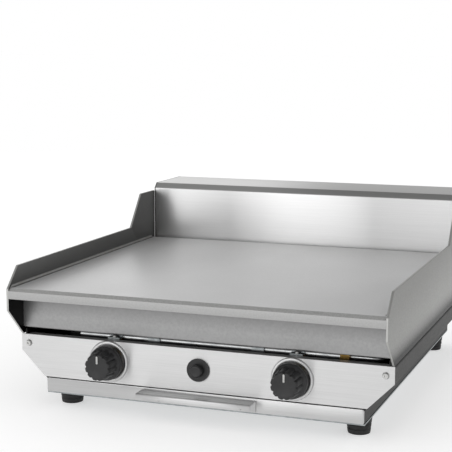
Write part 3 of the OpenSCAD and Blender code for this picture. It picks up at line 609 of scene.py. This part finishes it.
@dataclass(frozen=True)
class SidePlate:
    """Laser-cut mild steel, blasted: a dull mid grey outside, and darker inside as painted shade."""

    name: str = "blasted_steel_side"
    colour: str = "#9b9b99"
    shade: str = "#8e8e8c"
    # The colours below are painted shade and painted highlights, not the steel's own.
    brow_shade: str = "#858583"
    edge: str = "#b8b8b6"
    inner: str = "#4e4e4d"
    sheen: str = "#737372"
    under_plate_shade: str = "#1d1d1d"
    foot: str = "#151515"
    roughness: float = 0.46
    tooth_mm: float = 1.5
    patch_mm: float = 120.0
    depth_mm: float = 0.02
    inner_face: float = 210.05
    outer_face: float = 212.3
    plate_underside: float = -12.0
    foot_low: float = -52.0
    foot_high: float = -32.0
    brow_low: float = -25.0
    crown: float = 24.0
    sheen_front: float = 50.5
    sheen_rear: float = 250.5

    def material(self) -> Material:
        """Build the material.

        The distance from the middle plane tells the faces apart. Up to the inner face the colour is dark as
        painted shade, with a painted sheen towards its top and its front, and near black painted shade below
        the plate. Between the faces lie the cut edges, bright as a painted highlight. Beyond them lies the
        outer face, with painted shade towards its top and a dark painted shade along its foot, where it meets
        the base. The blasted tooth is drawn coarser than a real one, so that it shows.
        """
        shader = Shader(self.name, 1.0)
        tooth = shader.pattern((self.tooth_mm,) * 3, 3.0)
        patch = shader.pattern((self.patch_mm,) * 3, 4.0, 0.5)
        outer = shader.layer(self.colour, self.shade, Ramp(patch, 0.35, 0.7, 0.0, 0.4))
        outer = shader.layer(outer, self.shade, Ramp(tooth, 0.36, 0.64, 0.0, 0.5))
        # Painted shade: the outer face goes duller towards its top.
        outer = shader.layer(outer, self.brow_shade, shader.along(Axis.Z, self.brow_low, self.crown))
        # Painted shade: dark along the outer face's foot, where it meets the base.
        low_down = shader.along(Axis.Z, self.foot_low, self.foot_high, 1.0, 0.0)
        outer = shader.layer(outer, self.foot, low_down, low_down)
        # Painted shade on the inner face, with a painted sheen towards its top and its front.
        inner = shader.layer(self.inner, self.sheen, shader.along(Axis.Z, 0.0, self.crown),
                             shader.along(Axis.Y, self.sheen_front, self.sheen_rear, 1.0, 0.4))
        # Painted shade: near black below the plate.
        inner = shader.layer(self.under_plate_shade, inner,
                             shader.along(Axis.Z, self.plate_underside - 1.0, self.plate_underside))
        # Painted highlight: the cut edges are bright.
        colour = shader.layer(inner, self.edge, shader.aside(self.inner_face, self.inner_face + 0.1))
        colour = shader.layer(colour, outer, shader.aside(self.outer_face - 0.1, self.outer_face))
        shader.relief((tooth, self.depth_mm))
        return shader.finish(colour, Ramp(tooth, 0.3, 0.7, self.roughness - 0.04, self.roughness + 0.06))


@dataclass(frozen=True)
class MottledMetal:
    """Metal with a faint mottle: rolled, cast, plated or blasted by its colours, roughness and cell size."""

    name: str
    colour: str
    shade: str
    roughness: float
    cell_mm: float
    tooth_mm: float
    depth_mm: float
    dim: str = ""
    dim_low: float = 0.0
    dim_high: float = 0.0

    def material(self) -> Material:
        """Build the material from a mottle of cells and a tooth, both as coarse as they need to be to show.

        Where dim is given, it is painted shade: the colour goes over to it from dim_low up to dim_high.
        """
        shader = Shader(self.name, 1.0)
        cells = shader.pattern((self.cell_mm,) * 3, 3.0, 0.4)
        tooth = shader.pattern((self.tooth_mm,) * 3, 2.0)
        colour = shader.layer(self.colour, self.shade, Ramp(cells, 0.35, 0.65))
        # Painted shade, as under an overhang.
        if self.dim:
            colour = shader.layer(colour, self.dim, shader.along(Axis.Z, self.dim_low, self.dim_high))
        shader.relief((tooth, self.depth_mm))
        return shader.finish(colour, Ramp(cells, 0.3, 0.7, self.roughness - 0.03, self.roughness + 0.03))


@dataclass(frozen=True)
class WeldBead:
    """Ground weld metal, tinted by its heat: dim straw bands along Y over a satin grey."""

    name: str = "ground_weld_bead"
    colour: str = "#7a7a79"
    straw: str = "#75736e"
    roughness: float = 0.36
    band_mm: float = 9.0
    width_mm: float = 40.0
    tooth_mm: float = 0.5
    depth_mm: float = 0.012

    def material(self) -> Material:
        """Build the material: bands of temper colour across the bead and a fine tooth."""
        shader = Shader(self.name, 1.0)
        band = shader.pattern((self.width_mm, self.band_mm, self.width_mm), 3.0, 0.8)
        tooth = shader.pattern((self.tooth_mm,) * 3, 2.0)
        colour = shader.layer(self.colour, self.straw, Ramp(band, 0.42, 0.62, 0.0, 0.6))
        shader.relief((tooth, self.depth_mm))
        return shader.finish(colour, Ramp(band, 0.3, 0.7, self.roughness - 0.05, self.roughness + 0.08))


@dataclass(frozen=True)
class MouldedPlastic:
    """Moulded thermoset or rubber: a fine spark-eroded texture that gives a broad soft highlight."""

    name: str
    colour: str
    shade: str
    roughness: float
    texture_mm: float = 0.5
    depth_mm: float = 0.02
    coat: float = 0.0
    drift_mm: float = 14.0

    def material(self) -> Material:
        """Build the material: the mould's texture in relief and a faint drift of colour."""
        shader = Shader(self.name, 0.0, coat=self.coat)
        grain = shader.pattern((self.texture_mm,) * 3, 2.0)
        drift = shader.pattern((self.drift_mm,) * 3, 2.0)
        colour = shader.layer(self.colour, self.shade, Ramp(drift, 0.35, 0.65))
        shader.relief((grain, self.depth_mm))
        return shader.finish(colour, Ramp(grain, 0.3, 0.7, self.roughness - 0.05, self.roughness + 0.05))


@dataclass(frozen=True)
class HeatTinted:
    """Stainless burner tube: straw to blue temper colours that run along Y where the flames sit."""

    name: str = "heat_tinted_stainless_tube"
    colour: str = "#b5b2ab"
    straw: str = "#a98f62"
    blue: str = "#5f6478"
    roughness: float = 0.3
    drift_mm: tuple = (30.0, 60.0, 30.0)
    grain_mm: tuple = (20.0, 0.6, 0.6)
    depth_mm: float = 0.008
    cool: float = -92.0
    hot: float = -58.0

    def material(self) -> Material:
        """Build the material: tint by height in the burner box, broken up by a slow noise."""
        shader = Shader(self.name, 1.0)
        drift = shader.pattern(self.drift_mm, 3.0, 0.5)
        heat = shader.product(shader.along(Axis.Z, self.cool, self.hot), Ramp(drift, 0.3, 0.7, 0.4, 1.3))
        colour = shader.layer(self.colour, self.straw, Ramp(heat, 0.2, 0.6, 0.0, 0.8))
        colour = shader.layer(colour, self.blue, Ramp(heat, 0.7, 1.1, 0.0, 0.8))
        shader.relief((shader.pattern(self.grain_mm, 2.0), self.depth_mm))
        return shader.finish(colour, Ramp(drift, 0.3, 0.7, self.roughness - 0.05, self.roughness + 0.12))


def built(finish: object) -> Material:
    """Give a field that holds the finish's material, built when the class of the field is called."""
    return field(default_factory=finish.material)


@dataclass(frozen=True)
class Finishes:
    """Every finish of the griddle, each built once, when the class is called."""

    sheet: Material = built(BrushedSheet())
    # The splash panel's bevel and top tints are painted shade.
    splash: Material = built(BrushedSheet("brushed_stainless_splash_panel", "#dfdfdf", "#d9d9d9",
                                          anisotropy=0.6, bow_mm=9.5, bevel_shade="#b1b1b0", top="#d2d2d1"))
    plate: Material = built(SandedPlate())
    side: Material = built(SidePlate())
    weld: Material = built(WeldBead())
    # The apron dims below the plate's nose: painted shade.
    apron: Material = built(MottledMetal("blasted_steel_apron", "#9f9f9f", "#999999", 0.42, 2.6, 1.0, 0.012,
                                         dim="#757575", dim_low=-36.0, dim_high=-13.0))
    base: Material = built(MottledMetal("satin_steel_base", "#9a9a98", "#8f8f8d", 0.36, 2.2, 0.8, 0.012))
    # The base sides are dark grey all over.
    shell: Material = built(MottledMetal("darkened_steel_shell", "#363635", "#30302f", 0.5, 2.2, 0.8, 0.012))
    zinc: Material = built(MottledMetal("galvanised_sheet", "#a9adae", "#8f9496", 0.42, 7.0, 0.8, 0.015))
    screw: Material = built(MottledMetal("plated_screw_steel", "#cfcfcd", "#b9b9b8", 0.25, 2.0, 0.3, 0.004))
    brass: Material = built(MottledMetal("forged_brass", "#c2a05e", "#a88647", 0.32, 4.0, 0.4, 0.01))
    pipe: Material = built(MottledMetal("drawn_aluminium_pipe", "#bcbdbe", "#a9abac", 0.3, 12.0, 0.6, 0.006))
    tube: Material = built(HeatTinted())
    knob: Material = built(MouldedPlastic("black_thermoset", "#1c1c1d", "#242425", 0.42))
    pointer: Material = built(MouldedPlastic("white_pointer_inlay", "#dededb", "#d2d2cf", 0.4))
    rubber: Material = built(MouldedPlastic("black_rubber", "#222223", "#2b2b2b", 0.7, 0.8, 0.03))
    ceramic: Material = built(MouldedPlastic("glazed_ceramic", "#e6e1d6", "#d9d2c4", 0.2, 0.6, 0.004, 0.5))
    silicone: Material = built(MouldedPlastic("silicone_sleeve", "#a9a59b", "#9a968c", 0.55))
    tray: Material = built(MottledMetal("bright_steel_tray", "#c2c2c1", "#bababa", 0.4, 12.0, 0.7, 0.006))


@dataclass
class GriddleTop:
    """The lift-off top: thick plate with a broken front edge, side plates, coved welds and front apron."""

    finishes: Finishes
    half_width: float = HALF_PLATE
    rear: float = PLATE_REAR
    thickness: float = PLATE_THICKNESS
    nose_drop: float = 3.3
    plate_round: float = 0.5
    side_thickness: float = 2.5
    side_corner: float = 2.0
    side_arris: float = 0.35
    guard: tuple = ((-4.5, -25.0), (-4.5, -1.0), (18.0, 22.0), (318.0, 22.0), (351.0, 63.5), (395.4, 63.5),
                    (395.4, -57.0), (27.5, -57.0))
    seam: float = 3.0
    seam_gap: float = 0.6
    seam_run_out: float = 4.0
    seam_least: float = 0.15
    ripple: float = 2.4
    ripple_steps: int = 4
    ripple_depth: float = 0.1
    apron_front: float = 28.0
    apron_low: float = -50.0
    apron_flange: float = 12.0

    def build(self) -> None:
        """Make every piece of the top."""
        self.plate()
        self.sides()
        self.seams()
        self.apron()
        dress(self.finishes.apron, "locating_lugs")

    def plate(self) -> None:
        """Make the plate: its section with broken edges, run across the griddle."""
        section = rounded_outline([(-NOSE_RUN, -self.thickness), (-NOSE_RUN, -self.nose_drop), (0, 0),
                                   (self.rear, 0), (self.rear, -self.thickness)], self.plate_round, 4)
        mesh = prism(section, -self.half_width, self.half_width, Axis.X, 0.0, 1)
        make_piece("Griddle_Plate", mesh, self.finishes.plate, Body.TOP, ("griddle_plate",))

    def sides(self) -> None:
        """Make the two side plates with softly broken edges."""
        outline = rounded_outline(self.guard, self.side_corner, 6)
        mesh = prism(outline, self.half_width, self.half_width + self.side_thickness, Axis.X,
                     self.side_arris, 3)
        for side in Side:
            make_piece(f"{side.name.title()}_Side_Plate", mesh if side is Side.RIGHT else mirrored(mesh),
                       self.finishes.side, Body.TOP, (f"{side.name.lower()}_side_plate",))

    def seams(self) -> None:
        """Make the coved seams.

        At angle a the cove lies at x = w − s + r·sin a and z = s − r·cos a, where w is half the plate's width
        and s the seam's size. Its radius r is s less a ripple of ripple_depth·sin(π·y / ripple)², which
        only fills the cove. Towards its ends it shrinks over seam_run_out to the share seam_least.
        """
        along = np.linspace(self.seam_gap, self.rear - self.seam_gap,
                            int(self.rear / (self.ripple / self.ripple_steps)))
        angle = np.radians(np.linspace(0, 90, 7))
        ends = np.clip(np.minimum(along, self.rear - along) / self.seam_run_out, self.seam_least, 1)
        ripple = self.ripple_depth * np.sin(np.pi * along / self.ripple) ** 2
        radius = self.seam - ripple[:, None]
        x = self.half_width - self.seam + radius * np.sin(angle)
        z = self.seam - radius * np.cos(angle)
        x = self.half_width - (self.half_width - x) * ends[:, None]
        z = z * ends[:, None]
        cove = np.stack([x, np.broadcast_to(along[:, None], x.shape), z], axis=-1)
        root = np.stack([np.full(len(along), self.half_width), along, np.zeros(len(along))], axis=-1)[:, None]
        ring = np.concatenate([cove, root], axis=1)
        right = (ring.reshape(-1, 3), capped_faces(len(along), ring.shape[1]))
        make_piece("Corner_Seams", joined([right, mirrored(right)]), self.finishes.weld, Body.TOP,
                   ("corner_seams",), crease=60.0)

    def apron(self) -> None:
        """Make the folded apron under the plate's nose."""
        rear = self.apron_front + self.apron_flange
        section = folded_sheet([(rear, self.apron_low), (self.apron_front, self.apron_low),
                                (self.apron_front, -self.thickness), (rear, -self.thickness)],
                               FOLD, SHEET)
        mesh = prism(section, -self.half_width, self.half_width, Axis.X, 0.0, 1)
        make_piece("Front_Apron", mesh, self.finishes.apron, Body.TOP, ("front_apron",))


@dataclass
class SplashBack:
    """The brushed box behind the plate: splash face, bevel, top, ends and the slotted rear cover."""

    finishes: Finishes
    half_width: float = 208.2
    face: float = 395.5
    foot: float = -19.0
    height: float = 66.5
    bevel: float = 7.0
    rear: float = 487.0
    lip: float = 15.5

    def build(self) -> None:
        """Make the folded panel and dress the rest."""
        top = self.height + self.bevel
        section = folded_sheet([(self.face, self.foot), (self.face, self.height),
                                (self.face + self.bevel, top), (self.rear, top),
                                (self.rear, top - self.lip)], FOLD, SHEET)
        mesh = prism(section, -self.half_width, self.half_width, Axis.X, 0.25, 2)
        make_piece("Splash_Panel", mesh, self.finishes.splash, Body.BASE,
                   ("back_panel",))
        dress(self.finishes.base, "left_end_cap", "right_end_cap", "rear_cover")
        dress(self.finishes.screw, "rear_screws")


@dataclass
class BaseShell:
    """The base: folded sides, floor, burner box, gutter and feet."""

    finishes: Finishes
    foot_x: float = 168.0
    foot_y: tuple = (61.5, 449.0)
    foot_low: float = -140.0
    foot_high: float = -122.5
    foot_radius: float = 14.0
    screw_radius: float = 2.05
    well_radius: float = 5.0
    well_depth: float = 9.6

    def build(self) -> None:
        """Make the feet and dress the sheets."""
        self.feet()
        dress(self.finishes.shell, "left_base_side", "right_base_side")
        dress(self.finishes.base, "burner_box", "grease_gutter", "gutter_spout")
        dress(self.finishes.sheet, "control_panel")
        dress(self.finishes.zinc, "bottom_plate", "tray_rails", "burner_brackets", "manifold_brackets",
              "manifold_clamps")
        dress(self.finishes.screw, "panel_screws", "foot_screws", "foot_nuts", "clamp_screws")

    def feet(self) -> None:
        """Make the rubber feet: a tapered body with rounded rims, two grooves and the well of its screw."""
        low, high, big = self.foot_low, self.foot_high, self.foot_radius
        well, hole, seat = self.well_radius, self.screw_radius, self.foot_low + self.well_depth
        wall = [(well, seat), (well, low + 0.6), (well + 0.5, low), (big - 3.0, low), (big - 2.2, low + 0.3),
                (big - 1.9, low + 1.2), (big - 1.4, low + 5.0), (big - 2.0, low + 5.6),
                (big - 2.0, low + 6.4), (big - 1.2, low + 7.0), (big - 0.9, low + 10.0),
                (big - 1.5, low + 10.6), (big - 1.5, low + 11.4), (big - 0.7, low + 12.0),
                (big - 0.2, high - 1.2), (big - 0.4, high - 0.3), (big - 1.2, high), (hole, high),
                (hole, seat), (well, seat)]
        feet = [turned(wall, (x, y), Axis.Z, 48) for x in (-self.foot_x, self.foot_x) for y in self.foot_y]
        make_piece("Rubber_Feet", joined(feet), self.finishes.rubber, Body.BASE, ("rubber_feet",))


@dataclass
class Controls:
    """Knobs with their bezels, and the igniter's button."""

    finishes: Finishes
    knob_x: float = 105.0
    axis_z: float = -80.0
    knob_front: float = -3.5
    knob_back: float = 20.5
    knob_radius: float = 19.0
    knob_sides: int = 144
    flutes: int = 12
    stem_radius: float = 4.0
    stem_socket: float = 5.0
    pointer_half: float = 1.0
    pointer_foot: float = 4.0
    pointer_rim: float = 6.4
    pointer_depth: float = 1.6
    panel: float = 27.5
    bezel_radius: float = 23.0
    bezel_bore: float = 6.0
    button_radius: float = 7.0
    button_front: float = 17.4
    button_back: float = 33.5

    def build(self) -> None:
        """Make the knobs, the bezels and the button, and dress the rest."""
        for side, body in ((Side.LEFT, Body.LEFT_KNOB), (Side.RIGHT, Body.RIGHT_KNOB)):
            self.knob(side, body)
        self.bezels()
        self.button()
        dress(self.finishes.knob, "igniter_body", "igniter_nut")

    def knob(self, side: Side, body: Body) -> None:
        """Make a knob: a turned form whose grip is drawn in by flutes, and its pointer.

        The grip's radius is multiplied by 1 − d·c^8, where c is the cosine of half the flutes times the
        angle, and d is 0.1 along the grip and runs out to 0 at the middle of its face and on the skirt.

        Args:
            side: The side of the griddle that it is on.
            body: The body of the frame that it rides on.
        """
        front, back, big = self.knob_front, self.knob_back, self.knob_radius
        profile = np.array([(0, front + 1.3), (big - 8.5, front + 0.7), (big - 6.2, front + 0.15),
                            (big - 5.2, front + 0.35), (big - 4.3, front + 1.5), (big - 3.9, front + 4),
                            (big - 3.2, back - 8.2), (big - 2.9, back - 7.2), (big - 1.6, back - 5.8),
                            (big - 0.5, back - 5.0), (big - 0.1, back - 4.2), (big, back - 3.2),
                            (big, back - 0.6), (big - 0.6, back), (self.stem_radius, back),
                            (self.stem_radius, front + self.stem_socket), (0, front + self.stem_socket)])
        depth = np.zeros(len(profile))
        depth[1:8] = 0.02, 0.06, 0.09, 0.1, 0.1, 0.1, 0.06
        angle = np.linspace(0, 2 * np.pi, self.knob_sides, endpoint=False)
        wave = 1 - depth[:, None] * np.abs(np.cos(self.flutes / 2 * angle))[None] ** 8
        centre = (side.value * self.knob_x, self.axis_z)
        name = side.name.title()
        make_piece(f"{name}_Knob", turned(profile, centre, Axis.Y, self.knob_sides, wave),
                   self.finishes.knob, body, (f"{name.lower()}_knob",), crease=50.0)
        left, right = centre[0] - self.pointer_half, centre[0] + self.pointer_half
        low, high = self.axis_z + self.pointer_foot, self.axis_z + big - self.pointer_rim
        outline = rounded_outline([(left, low), (right, low), (right, high), (left, high)], 0.8, 4)
        pointer = prism(outline, front + 0.05, front + self.pointer_depth, Axis.Y, 0.2, 2)
        make_piece(f"{name}_Knob_Pointer", pointer, self.finishes.pointer, body)

    def bezels(self) -> None:
        """Make the bezels: a dished ring with a rolled rim."""
        face, big, bore = self.panel, self.bezel_radius, self.bezel_bore
        ring = [(bore, face), (bore, face - 1.5), (big - 6.4, face - 1.5), (big - 5.6, face - 1.7),
                (big - 3.6, face - 2.8), (big - 2.8, face - 3.0), (big - 1.2, face - 3.0),
                (big - 0.5, face - 2.7), (big - 0.1, face - 2.1), (big, face - 1.4), (big, face),
                (bore, face)]
        parts = [turned(ring, (side.value * self.knob_x, self.axis_z), Axis.Y, 96) for side in Side]
        make_piece("Knob_Bezels", joined(parts), self.finishes.sheet, Body.BASE,
                   ("knob_bezels",))

    def button(self) -> None:
        """Make the igniter's button with a domed, rimmed face."""
        front, back, big = self.button_front, self.button_back, self.button_radius
        profile = [(0, front + 0.5), (big - 3.2, front + 0.35), (big - 2.2, front), (big - 1.2, front + 0.15),
                   (big - 0.4, front + 0.8), (big, front + 1.8), (big, back), (0, back)]
        make_piece("Igniter_Button", turned(profile, (0, self.axis_z), Axis.Y, 72), self.finishes.knob,
                   Body.IGNITER, ("igniter_button",))


@dataclass
class DripTray:
    """The drip tray: its front with softened corners and its folded pull."""

    finishes: Finishes
    half_width: float = 181.7
    low: float = -120.7
    high: float = -105.3
    front: float = 27.5
    pull_half: float = 65.0
    pull_reach: float = 20.0
    pull_low: float = -119.7
    pull_high: float = -107.0
    pull_lip: float = -112.0
    corner: float = 2.0

    def build(self) -> None:
        """Make the front and the pull, and dress the pan and its screws."""
        self.face()
        self.pull()
        dress(self.finishes.tray, "drip_tray", "tray_sides", "tray_ends")
        dress(self.finishes.screw, "tray_screws")

    def face(self) -> None:
        """Make the tray's front."""
        width = self.half_width
        outline = rounded_outline([(-width, self.low), (width, self.low), (width, self.high),
                                   (-width, self.high)], self.corner, 4)
        mesh = prism(outline, self.front, self.front + SHEET, Axis.Y, 0.3, 2)
        make_piece("Tray_Front", mesh, self.finishes.sheet, Body.TRAY, ("tray_front",))

    def pull(self) -> None:
        """Make the pull: a leaf on the front, a shelf to reach under and a lip that turns down."""
        edge = self.front - self.pull_reach
        section = folded_sheet([(self.front, self.pull_low), (self.front, self.pull_high),
                                (edge, self.pull_high), (edge, self.pull_lip)], FOLD, -SHEET)
        mesh = prism(section, -self.pull_half, self.pull_half, Axis.X, 0.3, 2)
        make_piece("Tray_Pull", mesh, self.finishes.sheet, Body.TRAY, ("tray_pull",))


@dataclass
class GasTrain:
    """Burners, manifold, taps, injectors, pipe, inlet and ignition, all shown as the frame has them."""

    finishes: Finishes

    def build(self) -> None:
        """Dress the gas train."""
        dress(self.finishes.tube, "left_burner", "right_burner")
        dress(self.finishes.brass, "left_tap_body", "right_tap_body", "tap_bonnets", "left_tap_plug",
              "right_tap_plug", "injectors", "left_tap_stem", "right_tap_stem", "pipe_nuts", "inlet_fitting",
              "inlet_nut", "left_flame_sensor", "right_flame_sensor")
        dress(self.finishes.pipe, "supply_pipe", "gas_manifold")
        dress(self.finishes.ceramic, "spark_electrodes")
        dress(self.finishes.silicone, "left_spark_lead", "right_spark_lead")


@dataclass(frozen=True)
class SoftBox:
    """A soft box of size (width, height), aimed at the griddle and unseen by the camera."""

    name: str
    place: tuple
    size: tuple
    power: float
    target: tuple = (0.0, 0.0, 0.15)

    def hang(self) -> None:
        """Hang the lamp."""
        data = bpy.data.lights.new(self.name, "AREA")
        data.shape = "RECTANGLE"
        data.size, data.size_y = self.size
        data.energy = self.power
        lamp = add_object(self.name, data)
        lamp.visible_camera = False
        lamp.location = self.place
        aim = Vector(self.target) - Vector(self.place)
        lamp.rotation_euler = aim.to_track_quat("-Z", "Y").to_euler()


@dataclass(frozen=True)
class Studio:
    """Camera, floor, lamps and surroundings, in metres and degrees.

    The last five fields are ramps (low, high, start, end) of the studio that the metal mirrors. The first
    three run over a direction's distance from the middle, the others over its way to the back and up.
    """

    camera_place: tuple = (0.48363, -1.44222, 0.40846)
    pitch: float = 8.39
    yaw: float = 20.35
    lens: float = 100.74
    floor_size: float = 60.0
    lamps: tuple = (SoftBox("Soft_Box_Back", (-2.1, 2.15, 0.7), (1.8, 1.0), 5.4),
                    SoftBox("Soft_Box_Front", (-0.79, -2.35, 0.55), (1.38, 1.0), 6.9))
    floor_glow: float = 0.5
    plain_light: float = 0.72
    rear: tuple = (0.24, 0.35, 0.56, 1.04)
    ahead: tuple = (0.2, 0.36, 0.72, 1.0)
    wings: tuple = (0.38, 0.6, 1.0, 0.7)
    turn: tuple = (-0.3, 0.3, 1.0, 0.0)
    ceiling: tuple = (0.42, 0.92, 1.0, 0.43)

    def build(self) -> None:
        """Set the studio up."""
        self.camera()
        self.floor()
        for lamp in self.lamps:
            lamp.hang()
        self.surroundings()

    def camera(self) -> None:
        """Place the camera at the photograph's view."""
        data = bpy.data.cameras.new("Camera")
        data.lens = self.lens
        data.sensor_width = 36.0
        data.clip_end = 200.0
        eye = add_object("Camera", data)
        eye.location = self.camera_place
        eye.rotation_euler = (math.radians(90 - self.pitch), 0.0, math.radians(self.yaw))
        bpy.context.scene.camera = eye

    def seen_by(self, tree: NodeTree, *rays: str) -> NodeSocket:
        """Tell kinds of ray apart.

        Args:
            tree: The node tree that takes the nodes.
            rays: Outputs of the light path, such as Is Camera Ray.

        Returns:
            The socket that carries 1 for the named kinds and 0 for the others.
        """
        paths = add_node(tree, "ShaderNodeLightPath").outputs
        seen = paths[rays[0]]
        for ray in rays[1:]:
            seen = add_node(tree, "ShaderNodeMath", {"operation": "MAXIMUM"},
                            {0: seen, 1: paths[ray]}).outputs[0]
        return seen

    def floor(self) -> None:
        """Lay a plain pale floor that keeps the object's shadow and is white to the eye elsewhere."""
        half = self.floor_size / 2
        data = bpy.data.meshes.new("Floor")
        data.from_pydata([(-half, -half, 0), (half, -half, 0), (half, half, 0), (-half, half, 0)], [],
                         [(0, 1, 2, 3)])
        material = bpy.data.materials.new("pale_studio_floor")
        tree = emptied_tree(material)
        seen = self.seen_by(tree, "Is Camera Ray", "Is Transmission Ray", "Is Glossy Ray")
        matte = add_node(tree, "ShaderNodeBsdfDiffuse", {"Color": srgb("#d9d9d9")}).outputs[0]
        white = add_node(tree, "ShaderNodeEmission", {"Color": srgb("#ffffff"), "Strength": self.floor_glow})
        both = add_node(tree, "ShaderNodeAddShader", links={0: matte, 1: white.outputs[0]})
        mixed = add_node(tree, "ShaderNodeMixShader", links={0: seen, 1: matte, 2: both.outputs[0]})
        add_node(tree, "ShaderNodeOutputMaterial", links={"Surface": mixed.outputs[0]})
        data.materials.append(material)
        floor = add_object("Floor", data)

    def surroundings(self) -> None:
        """Make the world: plain light, white to the eye, and in the metal a white studio with a dark ceiling.

        The mirrored studio is white in front, but for a pale strip straight ahead and dim wings, dims behind
        the griddle's middle and is darkest overhead.
        """
        world = bpy.data.worlds.new("Studio")
        bpy.context.scene.world = world
        tree = emptied_tree(world)
        coords = add_node(tree, "ShaderNodeTexCoord")
        way = add_node(tree, "ShaderNodeSeparateXYZ", links={"Vector": coords.outputs["Generated"]}).outputs
        aside = add_node(tree, "ShaderNodeMath", {"operation": "ABSOLUTE"}, {0: way["X"]}).outputs[0]
        rear, ahead, front, ceiling = (
            joined_ramps(tree, Joining.PRODUCT, *(Ramp(source, *span, Ease.SMOOTH) for span in spans))
            for source, *spans in ((aside, self.rear), (aside, self.ahead, self.wings), (way["Y"], self.turn),
                                   (way["Z"], self.ceiling)))
        walls = add_node(tree, "ShaderNodeMix", {"data_type": "FLOAT"}, {0: front, 2: rear, 3: ahead})
        mirrored_level = add_node(tree, "ShaderNodeMath", {"operation": "MULTIPLY"},
                                  {0: walls.outputs[0], 1: ceiling})
        level = add_node(tree, "ShaderNodeMix", {"data_type": "FLOAT", 2: self.plain_light},
                         {0: self.seen_by(tree, "Is Glossy Ray"), 3: mirrored_level.outputs[0]})
        level = add_node(tree, "ShaderNodeMix", {"data_type": "FLOAT", 3: 1.0},
                         {0: self.seen_by(tree, "Is Camera Ray", "Is Transmission Ray"),
                          2: level.outputs[0]})
        back = add_node(tree, "ShaderNodeBackground", {"Color": srgb("#ffffff")},
                        {"Strength": level.outputs[0]})
        add_node(tree, "ShaderNodeOutputWorld", links={"Surface": back.outputs[0]})


def main() -> None:
    """Build the griddle's looks and the studio round it."""
    logging.basicConfig(level=logging.INFO, format="%(message)s")
    bpy.context.scene.view_settings.view_transform = "Standard"
    Studio().build()
    finishes = Finishes()
    for assembly in (GriddleTop, SplashBack, BaseShell, Controls, DripTray, GasTrain):
        assembly(finishes).build()


if __name__ == "__main__":
    main()
